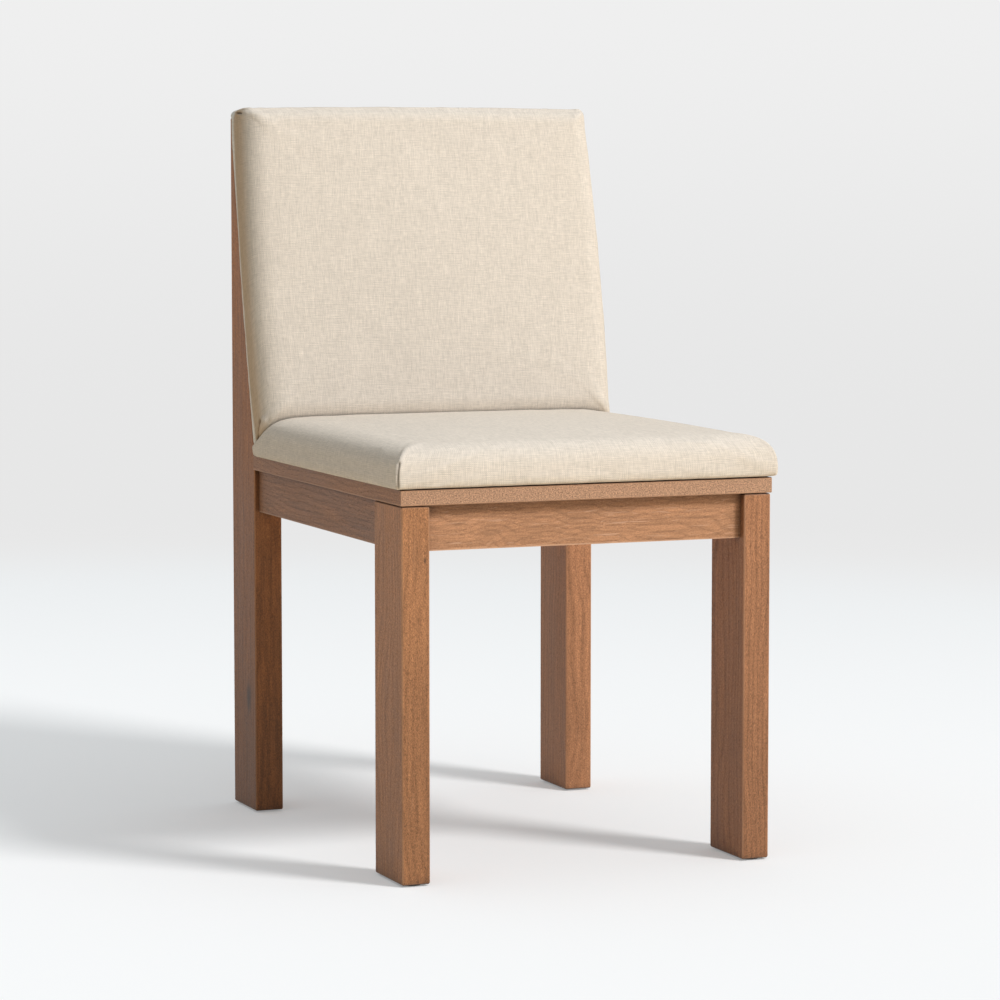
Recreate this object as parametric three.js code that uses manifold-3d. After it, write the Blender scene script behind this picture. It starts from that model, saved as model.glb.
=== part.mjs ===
// Dining chair: a solid wood frame of deep board legs, a wooden seat board, and a padded seat and back.
// Millimetres. +Z is up, the front faces -Y, and left is -X, seen from the front.
// The origin is on the floor, under the middle of the chair's outline.

import * as THREE from "three";
import { mergeVertices } from "three/addons/utils/BufferGeometryUtils.js";
import Module from "manifold-3d";

const wasm = await Module();
wasm.setup();

// Whole chair
const frameWidth = 436;
const frameDepth = 577;
const backTopHeight = 837.5;
const seatFrontOverhang = 6;

// Fits that every piece shares
const gap = 0.3;
const overrun = 4;
const arris = 1.2;

// Feet
const glideThickness = 2;
const glideRadius = 11;
const glideEdge = 0.5;
const glideNailRadius = 1.2;
const glideNailLength = 14;
const glideInset = 16;

// Legs and back posts
const frontLegWidth = 32;
const frontLegDepth = 84;
const postWidth = 34;
const postDepth = 82;
const postTipDepth = 7;
const postTipLength = 38;
const legTopRelief = 1;

// Seat board
const boardUnderside = 411;
const boardThickness = 17;
const boardProud = 1;

// Rails under the seat board
const railHeight = 50;
const frontRailThickness = 22;
const frontRailInset = 10.5;
const sideRailThickness = 20;
const sideRailInset = 6;
const rearRailThickness = 22;
const rearRailInset = 6;

// Tenons
const tenonThickness = 10;
const tenonShoulder = 8;
const crossTenonLength = 20;
const sideTenonLength = 30;

// Corner blocks
const blockSize = 33;
const blockHeight = 40;
const blockCorner = 12;

// Padded seat
const seatPlyThickness = 12;
const seatPlyMargin = 3;
const seatSideOverhang = 8.5;
const seatRearGap = 3;
const seatBulgeHeight = 10;
const seatDraw = 2.5;
const seatShoulderRise = 36.3;
const seatSideShoulder = 40;
const seatFrontShoulder = 40;
const seatRearShoulder = 45;
const seatCrown = 8;
const seatBow = 1.5;
const seatCornerRadius = 5;
const seatTurnIn = 32;
const shoulderPower = 2.7;

// Padded back, measured from the sloped faces of the posts
const backThickness = 70;
const backLift = 13;
const backBottomRound = 100;
const backTopPad = 11.5;
const backTopDrop = 4;
const backTopRound = 18;
const backSideRound = 26;
const backSideOverhang = 2.5;
const backBow = 4.5;
const backFlare = 3;
const backTopBow = 2;
const backCrown = 4;
const backCornerRadius = 10;
const backTurnIn = 12;
const backPlyThickness = 12;
const backPlyMargin = 2;
const topRailThickness = 24;
const lowerRailThickness = 20;
const lowerRailHeight = 50;
const lowerTenonLength = 15;

// Outside back, set between the posts
const outsideBoardThickness = 3;
const outsideTurnIn = 15;
const fabricThickness = 1.2;

// Screws
const screwHeadRadius = 4;
const screwHeadHeight = 2.6;
const screwShankRadius = 2;
const screwTipLength = 5;
const blockScrewLength = 42;
const boardScrewLength = 50;
const seatScrewLength = 25;
const panelScrewLength = 34;
const blockScrewOffset = 9;
const panelScrewInset = 10;

// How the curves are divided
const cornerSteps = 3;
const sideSteps = 6;
const roundSteps = 5;
const latheSteps = 12;
const crownShares = [0.7, 0.35];
const fullnessShares = [0.25, 0.6];

// Places that follow a piece's own length, as shares of it
const blockScrewShares = [0.3, 0.7];
const seatScrewShares = [0.2, 0.8];
const panelScrewShares = [0.12, 0.36, 0.6];
const seatScrewWidthShare = 0.33;

// Places worked out from the sizes above
const halfWidth = frameWidth / 2;
const cushionFrontY = -(frameDepth + seatFrontOverhang) / 2;
const rearFaceY = -cushionFrontY;
const frontFaceY = cushionFrontY + seatFrontOverhang;
const legRearY = frontFaceY + frontLegDepth;
const postFrontY = rearFaceY - postDepth;
const legBottom = glideThickness;
const boardTop = boardUnderside + boardThickness;
const railBottom = boardUnderside - railHeight;
const postTop = backTopHeight - backTopPad;
const taperTop = postTop - postTipLength;
const frontLegInnerX = halfWidth - frontLegWidth;
const postInnerX = halfWidth - postWidth;
const frontRailFrontY = frontFaceY + frontRailInset;
const frontRailRearY = frontRailFrontY + frontRailThickness;
const rearRailRearY = rearFaceY - rearRailInset;
const rearRailFrontY = rearRailRearY - rearRailThickness;
const sideRailOuterX = halfWidth - sideRailInset;
const sideRailInnerX = sideRailOuterX - sideRailThickness;
const slopeAngle = Math.atan2(postDepth - postTipDepth, taperTop - boardTop);
const slopeLength = Math.hypot(postDepth - postTipDepth, taperTop - boardTop);

// Colours, from the photograph
const finishes = {
  oak: { color: 0xa3714c, roughness: 0.55, metalness: 0 },
  innerWood: { color: 0xc9a77c, roughness: 0.75, metalness: 0 },
  plywood: { color: 0xd2b48a, roughness: 0.8, metalness: 0 },
  fabric: { color: 0xdfd3c0, roughness: 0.95, metalness: 0 },
  foam: { color: 0xe9dfb8, roughness: 1, metalness: 0 },
  steel: { color: 0x9a9da1, roughness: 0.35, metalness: 1 },
  nylon: { color: 0xd8d4cb, roughness: 0.5, metalness: 0 },
};

const chair = new THREE.Group();

function addPiece(name, geometry, finish) {
  const mesh = new THREE.Mesh(geometry, new THREE.MeshStandardMaterial(finishes[finish]));
  mesh.name = name;
  chair.add(mesh);
  return mesh;
}

// Solids and geometry, one into the other
function solidOf(geometry) {
  const bare = geometry.clone();
  bare.deleteAttribute("normal");
  bare.deleteAttribute("uv");
  const merged = mergeVertices(bare);
  const vertProperties = new Float32Array(merged.attributes.position.array);
  const triVerts = new Uint32Array(merged.index.array);
  return new wasm.Manifold(new wasm.Mesh({ numProp: 3, vertProperties, triVerts }));
}

function geometryOf(solid) {
  const mesh = solid.getMesh();
  const geometry = new THREE.BufferGeometry();
  geometry.setAttribute("position", new THREE.BufferAttribute(new Float32Array(mesh.vertProperties), mesh.numProp));
  geometry.setIndex(new THREE.BufferAttribute(new Uint32Array(mesh.triVerts), 1));
  geometry.computeVertexNormals();
  return geometry;
}

// A box between two opposite corners
function boxSolid(low, high) {
  const size = new THREE.Vector3().subVectors(high, low);
  const middle = new THREE.Vector3().addVectors(low, high).multiplyScalar(0.5);
  const geometry = new THREE.BoxGeometry(size.x, size.y, size.z);
  geometry.translate(middle.x, middle.y, middle.z);
  return solidOf(geometry);
}

// A board cut to an outline and given a thickness along one axis, with a small chamfer on both faces.
// Along x the outline is in y and z, along y it is in x and z, and along z it is in x and y.
function boardGeometry(axis, outline, from, to, chamfer) {
  const shape = new THREE.Shape(outline.map(([u, v]) => new THREE.Vector2(u, v)));
  const geometry = new THREE.ExtrudeGeometry(shape, {
    depth: to - from - 2 * chamfer,
    bevelEnabled: chamfer > 0,
    bevelThickness: chamfer,
    bevelSize: chamfer,
    bevelOffset: -chamfer,
    bevelSegments: 1,
  });
  const start = axis === "y" ? -to : from;
  geometry.translate(0, 0, start + chamfer);
  const turn = new THREE.Matrix4();
  if (axis === "x") {
    turn.makeBasis(new THREE.Vector3(0, 1, 0), new THREE.Vector3(0, 0, 1), new THREE.Vector3(1, 0, 0));
  }
  if (axis === "y") {
    turn.makeBasis(new THREE.Vector3(1, 0, 0), new THREE.Vector3(0, 0, 1), new THREE.Vector3(0, -1, 0));
  }
  geometry.applyMatrix4(turn);
  return geometry;
}

// A rectangle's corners, each cut off by the same small chamfer
function chamferedRectangle(low, high, chamfer) {
  return [
    [low[0] + chamfer, low[1]],
    [high[0] - chamfer, low[1]],
    [high[0], low[1] + chamfer],
    [high[0], high[1] - chamfer],
    [high[0] - chamfer, high[1]],
    [low[0] + chamfer, high[1]],
    [low[0], high[1] - chamfer],
    [low[0], low[1] + chamfer],
  ];
}

// A round hole or pin profile turned about its own axis, which points along +y
function turned(profile) {
  return new THREE.LatheGeometry(profile.map(([radius, y]) => new THREE.Vector2(radius, y)), latheSteps);
}

// The frame of the padded back: s runs up the sloped faces of the posts, and t stands out to the front
function onBack(x, s, t) {
  const y = postFrontY + s * Math.sin(slopeAngle) - t * Math.cos(slopeAngle);
  const z = boardTop + s * Math.cos(slopeAngle) + t * Math.sin(slopeAngle);
  return new THREE.Vector3(x, y, z);
}

function backMatrix() {
  const along = new THREE.Vector3(0, Math.sin(slopeAngle), Math.cos(slopeAngle));
  const out = new THREE.Vector3(0, -Math.cos(slopeAngle), Math.sin(slopeAngle));
  const matrix = new THREE.Matrix4().makeBasis(new THREE.Vector3(1, 0, 0), along, out);
  return matrix.setPosition(onBack(0, 0, 0));
}

// How far up the slope a point at height z lies, at a distance t in front of the posts
function slopeAt(z, t) {
  return (z - boardTop - t * Math.sin(slopeAngle)) / Math.cos(slopeAngle);
}

function backBoxSolid(low, high) {
  const size = new THREE.Vector3().subVectors(high, low);
  const middle = new THREE.Vector3().addVectors(low, high).multiplyScalar(0.5);
  const geometry = new THREE.BoxGeometry(size.x, size.y, size.z);
  geometry.translate(middle.x, middle.y, middle.z);
  geometry.applyMatrix4(backMatrix());
  return solidOf(geometry);
}

// Screws: a countersunk head at the start, driven along a direction
function screwGeometry(length, play) {
  return turned([
    [0, -length - play],
    [screwShankRadius + play, screwTipLength - length - play],
    [screwShankRadius + play, -screwHeadHeight - play],
    [screwHeadRadius + play, 0],
    [screwHeadRadius + play, play],
    [0, play],
  ]);
}

function turnTo(direction) {
  return new THREE.Quaternion().setFromUnitVectors(new THREE.Vector3(0, -1, 0), direction);
}

function screwHole(screw) {
  const geometry = screwGeometry(screw.length, gap);
  geometry.applyQuaternion(turnTo(screw.direction));
  geometry.translate(screw.head.x, screw.head.y, screw.head.z);
  return solidOf(geometry);
}

function addScrew(screw) {
  const geometry = screwGeometry(screw.length, 0);
  const piece = addPiece(screw.name, geometry, "steel");
  piece.quaternion.copy(turnTo(screw.direction));
  piece.position.copy(screw.head);
}

function drilled(solid, screws) {
  return screws.reduce((rest, screw) => rest.subtract(screwHole(screw)), solid);
}

// Both sides of the chair: the sign of x, and the word in the names
const sides = [
  { sign: -1, word: "left" },
  { sign: 1, word: "right" },
];

// A range of x on one side of the chair, in rising order
function sideRange(sign, inner, outer) {
  return sign < 0 ? [-outer, -inner] : [inner, outer];
}

// Tenons: each end of a rail is cut back to a tongue, and the mortise takes the tongue with a gap all round
const tenonBottom = railBottom + tenonShoulder;
const tenonTop = boardUnderside - tenonShoulder;

function tenonRange(low, thickness) {
  const middle = low + thickness / 2;
  return [middle - tenonThickness / 2, middle + tenonThickness / 2];
}

function crossRail(innerX, frontY, thickness, bottom, top, shoulder, tenonLength) {
  const outline = [[-innerX, bottom], [innerX, bottom], [innerX, top], [-innerX, top]];
  const body = solidOf(boardGeometry("y", outline, frontY, frontY + thickness, 0));
  const [tenonFront, tenonRear] = tenonRange(frontY, thickness);
  const reach = innerX + tenonLength;
  const tongue = boxSolid(
    new THREE.Vector3(-reach, tenonFront, bottom + shoulder),
    new THREE.Vector3(reach, tenonRear, top - shoulder),
  );
  return body.add(tongue);
}

// The mortise for a cross rail's tongue, on one side
function crossMortise(sign, innerX, frontY, thickness, bottom, top, shoulder, tenonLength) {
  const [tenonFront, tenonRear] = tenonRange(frontY, thickness);
  const [lowX, highX] = sideRange(sign, innerX - overrun, innerX + tenonLength + gap);
  return boxSolid(
    new THREE.Vector3(lowX, tenonFront - gap, bottom + shoulder - gap),
    new THREE.Vector3(highX, tenonRear + gap, top - shoulder + gap),
  );
}

function sideTongue(sign, play) {
  const [low, high] = sideRange(sign, ...tenonRange(sideRailInnerX, sideRailThickness));
  return boxSolid(
    new THREE.Vector3(low - play, legRearY - sideTenonLength - play, tenonBottom - play),
    new THREE.Vector3(high + play, postFrontY + sideTenonLength + play, tenonTop + play),
  );
}

// The two back rails between the posts: the rear seat rail and the rail above the board
const rearRail = [postInnerX, rearRailFrontY, rearRailThickness, railBottom, boardUnderside];
const lowerRailRearY = rearFaceY - postTipDepth - gap;
const lowerRailFrontY = lowerRailRearY - lowerRailThickness;
const lowerRail = [postInnerX, lowerRailFrontY, lowerRailThickness, boardTop, boardTop + lowerRailHeight];
const frontRail = [frontLegInnerX, frontRailFrontY, frontRailThickness, railBottom, boardUnderside];

// Glides under the feet
function glidePlaces(sign) {
  const frontX = sign * (halfWidth - frontLegWidth / 2);
  const rearX = sign * (halfWidth - postWidth / 2);
  return [
    { name: "front", x: frontX, y: frontFaceY + glideInset },
    { name: "rear", x: rearX, y: rearFaceY - glideInset },
  ];
}

function glideProfile(play) {
  return [
    [0, 0],
    [glideRadius - glideEdge, 0],
    [glideRadius, glideEdge],
    [glideRadius, glideThickness],
    [glideNailRadius + play, glideThickness],
    [glideNailRadius + play, glideThickness + glideNailLength - glideNailRadius + play],
    [0, glideThickness + glideNailLength + play],
  ];
}

function glideGeometry(place) {
  const geometry = turned(glideProfile(0));
  geometry.rotateX(Math.PI / 2);
  geometry.translate(place.x, place.y, 0);
  return geometry;
}

// The hole for a glide's nail, open at the foot
function nailHole(place) {
  const radius = glideNailRadius + gap;
  const geometry = turned([
    [0, glideThickness - overrun],
    [radius, glideThickness - overrun],
    [radius, glideThickness + glideNailLength],
    [0, glideThickness + glideNailLength + gap],
  ]);
  geometry.rotateX(Math.PI / 2);
  geometry.translate(place.x, place.y, 0);
  return solidOf(geometry);
}

// Corner blocks: a square block with its free corner cut off, between a cross rail and a leg
function cornerBlockPlaces(sign) {
  return [
    { name: "front", sign, legX: frontLegInnerX, railY: frontRailRearY, inward: 1 },
    { name: "rear", sign, legX: postInnerX, railY: rearRailFrontY, inward: -1 },
  ];
}

const blockTop = boardUnderside;
const blockBottom = blockTop - blockHeight;

function blockPoint(place, away, along) {
  return [place.sign * (place.legX - away), place.railY + place.inward * along];
}

function blockScrews(place) {
  const word = `${place.name}_${place.sign < 0 ? "left" : "right"}`;
  const [lowShare, highShare] = blockScrewShares;
  const [railX, railY] = blockPoint(place, blockScrewOffset, blockSize);
  const [legX, legY] = blockPoint(place, blockSize, blockSize / 2);
  const [boardX, boardY] = blockPoint(place, blockSize / 2 + blockScrewOffset / 2, blockScrewOffset);
  const lowZ = blockBottom + blockHeight * lowShare;
  const highZ = blockBottom + blockHeight * highShare;
  const towardsRail = new THREE.Vector3(0, -place.inward, 0);
  const towardsLeg = new THREE.Vector3(place.sign, 0, 0);
  const up = new THREE.Vector3(0, 0, 1);
  return {
    rail: {
      name: `rail_block_screw_${word}`,
      head: new THREE.Vector3(railX, railY, highZ),
      direction: towardsRail,
      length: blockScrewLength,
    },
    leg: {
      name: `leg_block_screw_${word}`,
      head: new THREE.Vector3(legX, legY, lowZ),
      direction: towardsLeg,
      length: blockScrewLength,
    },
    board: {
      name: `seat_board_screw_${word}`,
      head: new THREE.Vector3(boardX, boardY, blockBottom),
      direction: up,
      length: boardScrewLength,
    },
  };
}

function cornerBlock(place) {
  const cut = blockSize - blockCorner;
  const corners = [
    blockPoint(place, 0, 0),
    blockPoint(place, blockSize, 0),
    blockPoint(place, blockSize, cut),
    blockPoint(place, cut, blockSize),
    blockPoint(place, 0, blockSize),
  ];
  const outline = place.sign * place.inward > 0 ? corners.reverse() : corners;
  const block = solidOf(boardGeometry("z", outline, blockBottom, blockTop, 0));
  return drilled(block, Object.values(blockScrews(place)));
}

const blockPlaces = sides.flatMap(({ sign }) => cornerBlockPlaces(sign));
const allBlockScrews = blockPlaces.map((place) => ({ place, screws: blockScrews(place) }));

function blockScrewsInto(part, name, sign) {
  return allBlockScrews
    .filter(({ place }) => place.name === name && (sign === 0 || place.sign === sign))
    .map(({ screws }) => screws[part]);
}

// Front legs: deep boards that stop just under the seat board
function frontLeg(side) {
  const outline = chamferedRectangle(
    [frontFaceY, legBottom],
    [legRearY, boardUnderside - legTopRelief],
    arris,
  );
  const [lowX, highX] = sideRange(side.sign, frontLegInnerX, halfWidth);
  const leg = solidOf(boardGeometry("x", outline, lowX, highX, arris));
  const cut = leg
    .subtract(crossMortise(side.sign, ...frontRail, tenonShoulder, crossTenonLength))
    .subtract(sideTongue(side.sign, gap))
    .subtract(nailHole(glidePlaces(side.sign)[0]));
  return drilled(cut, blockScrewsInto("leg", "front", side.sign));
}

// Back posts: legs as deep as the front ones, whose upper half tapers to a thin tip behind the padding
function rearPost(side) {
  const outline = [
    [postFrontY + arris, legBottom],
    [rearFaceY - arris, legBottom],
    [rearFaceY, legBottom + arris],
    [rearFaceY, postTop],
    [rearFaceY - postTipDepth, postTop],
    [rearFaceY - postTipDepth, taperTop],
    [postFrontY, boardTop],
    [postFrontY, legBottom + arris],
  ];
  const [lowX, highX] = sideRange(side.sign, postInnerX, halfWidth);
  const post = solidOf(boardGeometry("x", outline, lowX, highX, arris));
  const cut = post
    .subtract(crossMortise(side.sign, ...rearRail, tenonShoulder, crossTenonLength))
    .subtract(crossMortise(side.sign, ...lowerRail, tenonShoulder, lowerTenonLength))
    .subtract(sideTongue(side.sign, gap))
    .subtract(nailHole(glidePlaces(side.sign)[1]));
  const panel = panelScrews.filter((screw) => screw.sign === side.sign);
  return drilled(cut, [...blockScrewsInto("leg", "rear", side.sign), ...panel]);
}

// Side rails, set in from the outer faces of the legs
function sideRail(side) {
  const [lowX, highX] = sideRange(side.sign, sideRailInnerX, sideRailOuterX);
  const outline = [
    [legRearY, railBottom],
    [postFrontY, railBottom],
    [postFrontY, boardUnderside],
    [legRearY, boardUnderside],
  ];
  const body = solidOf(boardGeometry("x", outline, lowX, highX, 0));
  return body.add(sideTongue(side.sign, 0));
}

// Seat board: a glued panel that covers the front legs and is notched round the posts
const boardHalfWidth = halfWidth + boardProud;
const boardFrontY = frontFaceY - boardProud;
const boardRearY = rearRailRearY + boardProud;

function seatScrewList() {
  const seatX = halfWidth * 2 * seatScrewWidthShare;
  return sides.flatMap(({ sign, word }) => seatScrewShares.map((share, index) => ({
    name: `seat_pad_screw_${index === 0 ? "front" : "rear"}_${word}`,
    head: new THREE.Vector3(sign * seatX, frontFaceY + (postFrontY - frontFaceY) * share, boardUnderside),
    direction: new THREE.Vector3(0, 0, 1),
    length: seatScrewLength,
  })));
}

const seatScrews = seatScrewList();

function seatBoard() {
  const notchX = postInnerX - gap;
  const notchY = postFrontY - gap;
  const outline = [
    [-boardHalfWidth, boardFrontY],
    [boardHalfWidth, boardFrontY],
    [boardHalfWidth, notchY],
    [notchX, notchY],
    [notchX, boardRearY],
    [-notchX, boardRearY],
    [-notchX, notchY],
    [-boardHalfWidth, notchY],
  ];
  const board = solidOf(boardGeometry("z", outline, boardUnderside, boardTop, arris / 2));
  const fromBlocks = [...blockScrewsInto("board", "front", 0), ...blockScrewsInto("board", "rear", 0)];
  return drilled(board, [...fromBlocks, ...seatScrews]);
}

// Padding: closed forms lofted through rings that all have the same number of points.
// bow is how far the middle of each side stands outside a straight line.
function roundedRectangle(low, high, radius, bow) {
  const turn = Math.PI / 2;
  const middles = [
    new THREE.Vector2(high[0] - radius, low[1] + radius),
    new THREE.Vector2(high[0] - radius, high[1] - radius),
    new THREE.Vector2(low[0] + radius, high[1] - radius),
    new THREE.Vector2(low[0] + radius, low[1] + radius),
  ];
  const arcPoint = (corner, angle) => {
    const reach = new THREE.Vector2(Math.cos(angle), Math.sin(angle)).multiplyScalar(radius);
    return middles[corner].clone().add(reach);
  };
  return middles.flatMap((_, corner) => {
    const start = turn * (corner - 1);
    const arc = [];
    for (let step = 0; step <= cornerSteps; step += 1) {
      arc.push(arcPoint(corner, start + (turn * step) / cornerSteps));
    }
    const next = arcPoint((corner + 1) % middles.length, start + turn);
    const outward = new THREE.Vector2(Math.cos(start + turn), Math.sin(start + turn));
    const bowHere = corner % 2 === 1 ? bow[1] : bow[0];
    for (let step = 1; step < sideSteps; step += 1) {
      const share = step / sideSteps;
      const point = arc[cornerSteps].clone().lerp(next, share);
      arc.push(point.addScaledVector(outward, 4 * share * (1 - share) * bowHere));
    }
    return arc;
  });
}

function loftSolid(rings, firstMiddle, lastMiddle) {
  const count = rings[0].length;
  const points = [firstMiddle, ...rings.flat(), lastMiddle];
  const faces = [];
  for (let ring = 0; ring < rings.length - 1; ring += 1) {
    for (let step = 0; step < count; step += 1) {
      const here = 1 + ring * count + step;
      const beside = 1 + ring * count + ((step + 1) % count);
      faces.push(here, beside, beside + count, here, beside + count, here + count);
    }
  }
  const lastRing = 1 + (rings.length - 1) * count;
  for (let step = 0; step < count; step += 1) {
    const beside = (step + 1) % count;
    faces.push(0, 1 + beside, 1 + step);
    faces.push(points.length - 1, lastRing + step, lastRing + beside);
  }
  const geometry = new THREE.BufferGeometry().setFromPoints(points);
  geometry.setIndex(faces);
  return solidOf(geometry);
}

// Rings that close a crowned face: each is a share of the last ring, standing a little higher
function crownRings(ring, middle, crownVector) {
  return crownShares.map((share) => ring.map((point) => {
    const moved = middle.clone().lerp(point, share);
    return moved.addScaledVector(crownVector, 1 - share * share);
  }));
}

// The padded seat's outer form, drawn in by an inset all round
function seatForm(inset) {
  const frontY = cushionFrontY;
  const rearY = postFrontY - seatRearGap;
  const halfX = halfWidth + seatSideOverhang - seatBow;
  const ringAt = (z, side, front, rear) => {
    const low = [-halfX + side, frontY + front];
    const high = [halfX - side, rearY - rear];
    const flat = roundedRectangle(low, high, seatCornerRadius, [seatBow, 0]);
    return flat.map((point) => new THREE.Vector3(point.x, point.y, z));
  };
  const bulgeZ = boardTop + seatBulgeHeight;
  const rise = seatShoulderRise - inset;
  const rings = [ringAt(boardTop + gap + inset, seatDraw + inset, seatDraw + inset, seatDraw + inset)];
  for (let step = 0; step <= roundSteps; step += 1) {
    const angle = (Math.PI / 2) * (step / roundSteps);
    const up = Math.sin(angle) ** (2 / shoulderPower);
    const inward = 1 - Math.cos(angle) ** (2 / shoulderPower);
    const drawn = (shoulder) => inset + (shoulder - inset) * inward;
    const z = bulgeZ + rise * up;
    rings.push(ringAt(z, drawn(seatSideShoulder), drawn(seatFrontShoulder), drawn(seatRearShoulder)));
  }
  const middleY = (frontY + rearY) / 2;
  const top = new THREE.Vector3(0, middleY, bulgeZ + rise);
  const crown = new THREE.Vector3(0, 0, seatCrown);
  rings.push(...crownRings(rings[rings.length - 1], top, crown));
  const bottom = new THREE.Vector3(0, middleY, boardTop + gap + inset);
  return loftSolid(rings, bottom, top.clone().add(crown));
}

// The padded back's outer form, drawn in by an inset all round
const backBottomS = backLift / Math.cos(slopeAngle);

function backBottomAt(t, inset) {
  const share = Math.min(1, Math.max(0, t) / (backThickness - inset));
  return backBottomS + inset + backBottomRound * (1 - Math.sqrt(1 - share * share));
}

function backTopAt(t, inset) {
  const front = backThickness - inset;
  const round = backTopRound - inset;
  const share = Math.min(1, Math.max(0, (t - front + round) / round));
  const drop = backTopDrop * (1 - t / front) ** 2;
  return slopeAt(backTopHeight - inset - drop - round * (1 - Math.sqrt(1 - share * share)), t);
}

function backForm(inset) {
  const base = gap + inset;
  const widest = backThickness - backSideRound;
  const round = backSideRound - inset;
  const halfX = halfWidth + backSideOverhang - inset;
  const ringAt = (t, drop, fullness) => {
    const low = [-halfX + drop, backBottomAt(t, inset)];
    const high = [halfX - drop, backTopAt(t, inset)];
    const bow = [backBow * fullness, backTopBow * fullness];
    const flat = roundedRectangle(low, high, backCornerRadius, bow);
    const flare = (backFlare * fullness) / halfX / (high[1] - low[1]);
    return flat.map((point) => onBack(point.x * (1 + flare * (high[1] - point.y)), point.y, t));
  };
  const rings = [ringAt(base, backSideOverhang, 0)];
  for (const share of fullnessShares) {
    rings.push(ringAt(base + (widest - base) * share, backSideOverhang * (1 - share) ** 2, 1 - (1 - share) ** 2));
  }
  for (let step = 0; step <= roundSteps; step += 1) {
    const angle = (Math.PI / 2) * (step / roundSteps);
    rings.push(ringAt(widest + round * Math.sin(angle), round * (1 - Math.cos(angle)), 1));
  }
  const front = backThickness - inset;
  const low = backBottomAt(front, inset);
  const high = backTopAt(front, inset);
  const face = onBack(0, (low + high) / 2, front);
  const crown = onBack(0, 0, backCrown).sub(onBack(0, 0, 0));
  rings.push(...crownRings(rings[rings.length - 1], face, crown));
  const rear = onBack(0, (backBottomAt(base, inset) + backTopAt(base, inset)) / 2, base);
  const slab = loftSolid(rings, rear, face.clone().add(crown));
  return slab.subtract(behindBack(inset));
}

// What the padded back keeps clear of: the post tips, and everything behind the posts' rear faces
function behindBack(inset) {
  const wide = halfWidth + backSideOverhang + backBow + overrun;
  const tipsY = rearFaceY - postTipDepth - gap - inset;
  const tips = boxSolid(
    new THREE.Vector3(-wide, tipsY, boardTop),
    new THREE.Vector3(wide, rearFaceY + postDepth, postTop + gap + inset),
  );
  const rear = boxSolid(
    new THREE.Vector3(-wide, rearFaceY - inset, boardTop),
    new THREE.Vector3(wide, rearFaceY + postDepth, backTopHeight + overrun),
  );
  return tips.add(rear);
}

// Seat pad: plywood, foam, and a cover that turns in under the plywood
const seatPlyLow = boardTop + gap + fabricThickness + gap;
const seatPlyHigh = seatPlyLow + seatPlyThickness;

function seatPlySolid(play) {
  const drawn = seatDraw + fabricThickness + gap + seatPlyMargin - play;
  const halfX = halfWidth + seatSideOverhang - seatBow - drawn;
  const outline = chamferedRectangle(
    [-halfX, cushionFrontY + drawn],
    [halfX, postFrontY - seatRearGap - drawn],
    seatCornerRadius,
  );
  return solidOf(boardGeometry("z", outline, seatPlyLow - play, seatPlyHigh + play, 0));
}

function seatCover() {
  const outer = seatForm(0).subtract(backForm(-gap));
  const inner = seatForm(fabricThickness).subtract(backForm(-gap - fabricThickness));
  const drawn = seatDraw + seatTurnIn;
  const halfX = halfWidth + seatSideOverhang - drawn;
  const opening = boxSolid(
    new THREE.Vector3(-halfX, cushionFrontY + drawn, boardTop - overrun),
    new THREE.Vector3(halfX, postFrontY - seatRearGap - drawn, seatPlyLow),
  );
  return outer.subtract(inner).subtract(opening);
}

function seatFoam() {
  const skin = fabricThickness + gap;
  const form = seatForm(skin).subtract(backForm(-gap - skin));
  const below = boxSolid(
    new THREE.Vector3(-frameWidth, -frameDepth, 0),
    new THREE.Vector3(frameWidth, frameDepth, seatPlyHigh + gap),
  );
  return form.subtract(below);
}

// Back pad: plywood on the sloped faces, a top rail lapped over the post tips, foam and cover
const skinDepth = gap + fabricThickness + gap;
const backPlyFront = skinDepth + backPlyThickness;
const topRailRearY = rearFaceY - postTipDepth - skinDepth;
const topRailFrontY = topRailRearY - topRailThickness;
const backPlyHalfX = halfWidth - fabricThickness - gap - backPlyMargin;
const backPlyTop = slopeAt(taperTop, backPlyFront) - gap;
const backPlyBottom = backBottomAt(backPlyFront, fabricThickness + gap) + backPlyMargin;

function panelScrewList() {
  const headX = postInnerX + panelScrewInset;
  const direction = onBack(0, 0, -1).sub(onBack(0, 0, 0));
  const words = ["lower", "middle", "upper"];
  return sides.flatMap(({ sign, word }) => panelScrewShares.map((share, index) => ({
    name: `back_panel_screw_${words[index]}_${word}`,
    sign,
    head: onBack(sign * headX, slopeLength * share, backPlyFront),
    direction,
    length: panelScrewLength,
  })));
}

const panelScrews = panelScrewList();

function backPanel() {
  const outline = chamferedRectangle(
    [-backPlyHalfX, backPlyBottom],
    [backPlyHalfX, backPlyTop],
    backCornerRadius,
  );
  const geometry = boardGeometry("z", outline, skinDepth, backPlyFront, 0);
  geometry.applyMatrix4(backMatrix());
  return drilled(solidOf(geometry), panelScrews);
}

function topRailSolid(play) {
  const outline = [
    [topRailFrontY - play, taperTop - play],
    [topRailRearY + play, taperTop - play],
    [topRailRearY + play, postTop + play],
    [topRailFrontY + topRailThickness / 2 - play, postTop + play],
    [topRailFrontY - play, postTop - topRailThickness / 2 + play],
  ];
  return solidOf(boardGeometry("x", outline, -backPlyHalfX - play, backPlyHalfX + play, 0));
}

function backCover() {
  const shell = backForm(0).subtract(backForm(fabricThickness));
  const openX = halfWidth - backTurnIn;
  const opening = backBoxSolid(
    new THREE.Vector3(-openX, backBottomS + backTurnIn, -overrun),
    new THREE.Vector3(openX, backPlyTop - backTurnIn, skinDepth),
  );
  return shell.subtract(opening);
}

function backFoam() {
  const skin = fabricThickness + gap;
  const reach = frameWidth;
  const plyRoom = backBoxSolid(
    new THREE.Vector3(-reach, -reach, -reach),
    new THREE.Vector3(reach, backPlyTop + gap, backPlyFront + gap),
  );
  return backForm(skin).subtract(plyRoom).subtract(topRailSolid(gap));
}

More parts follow.
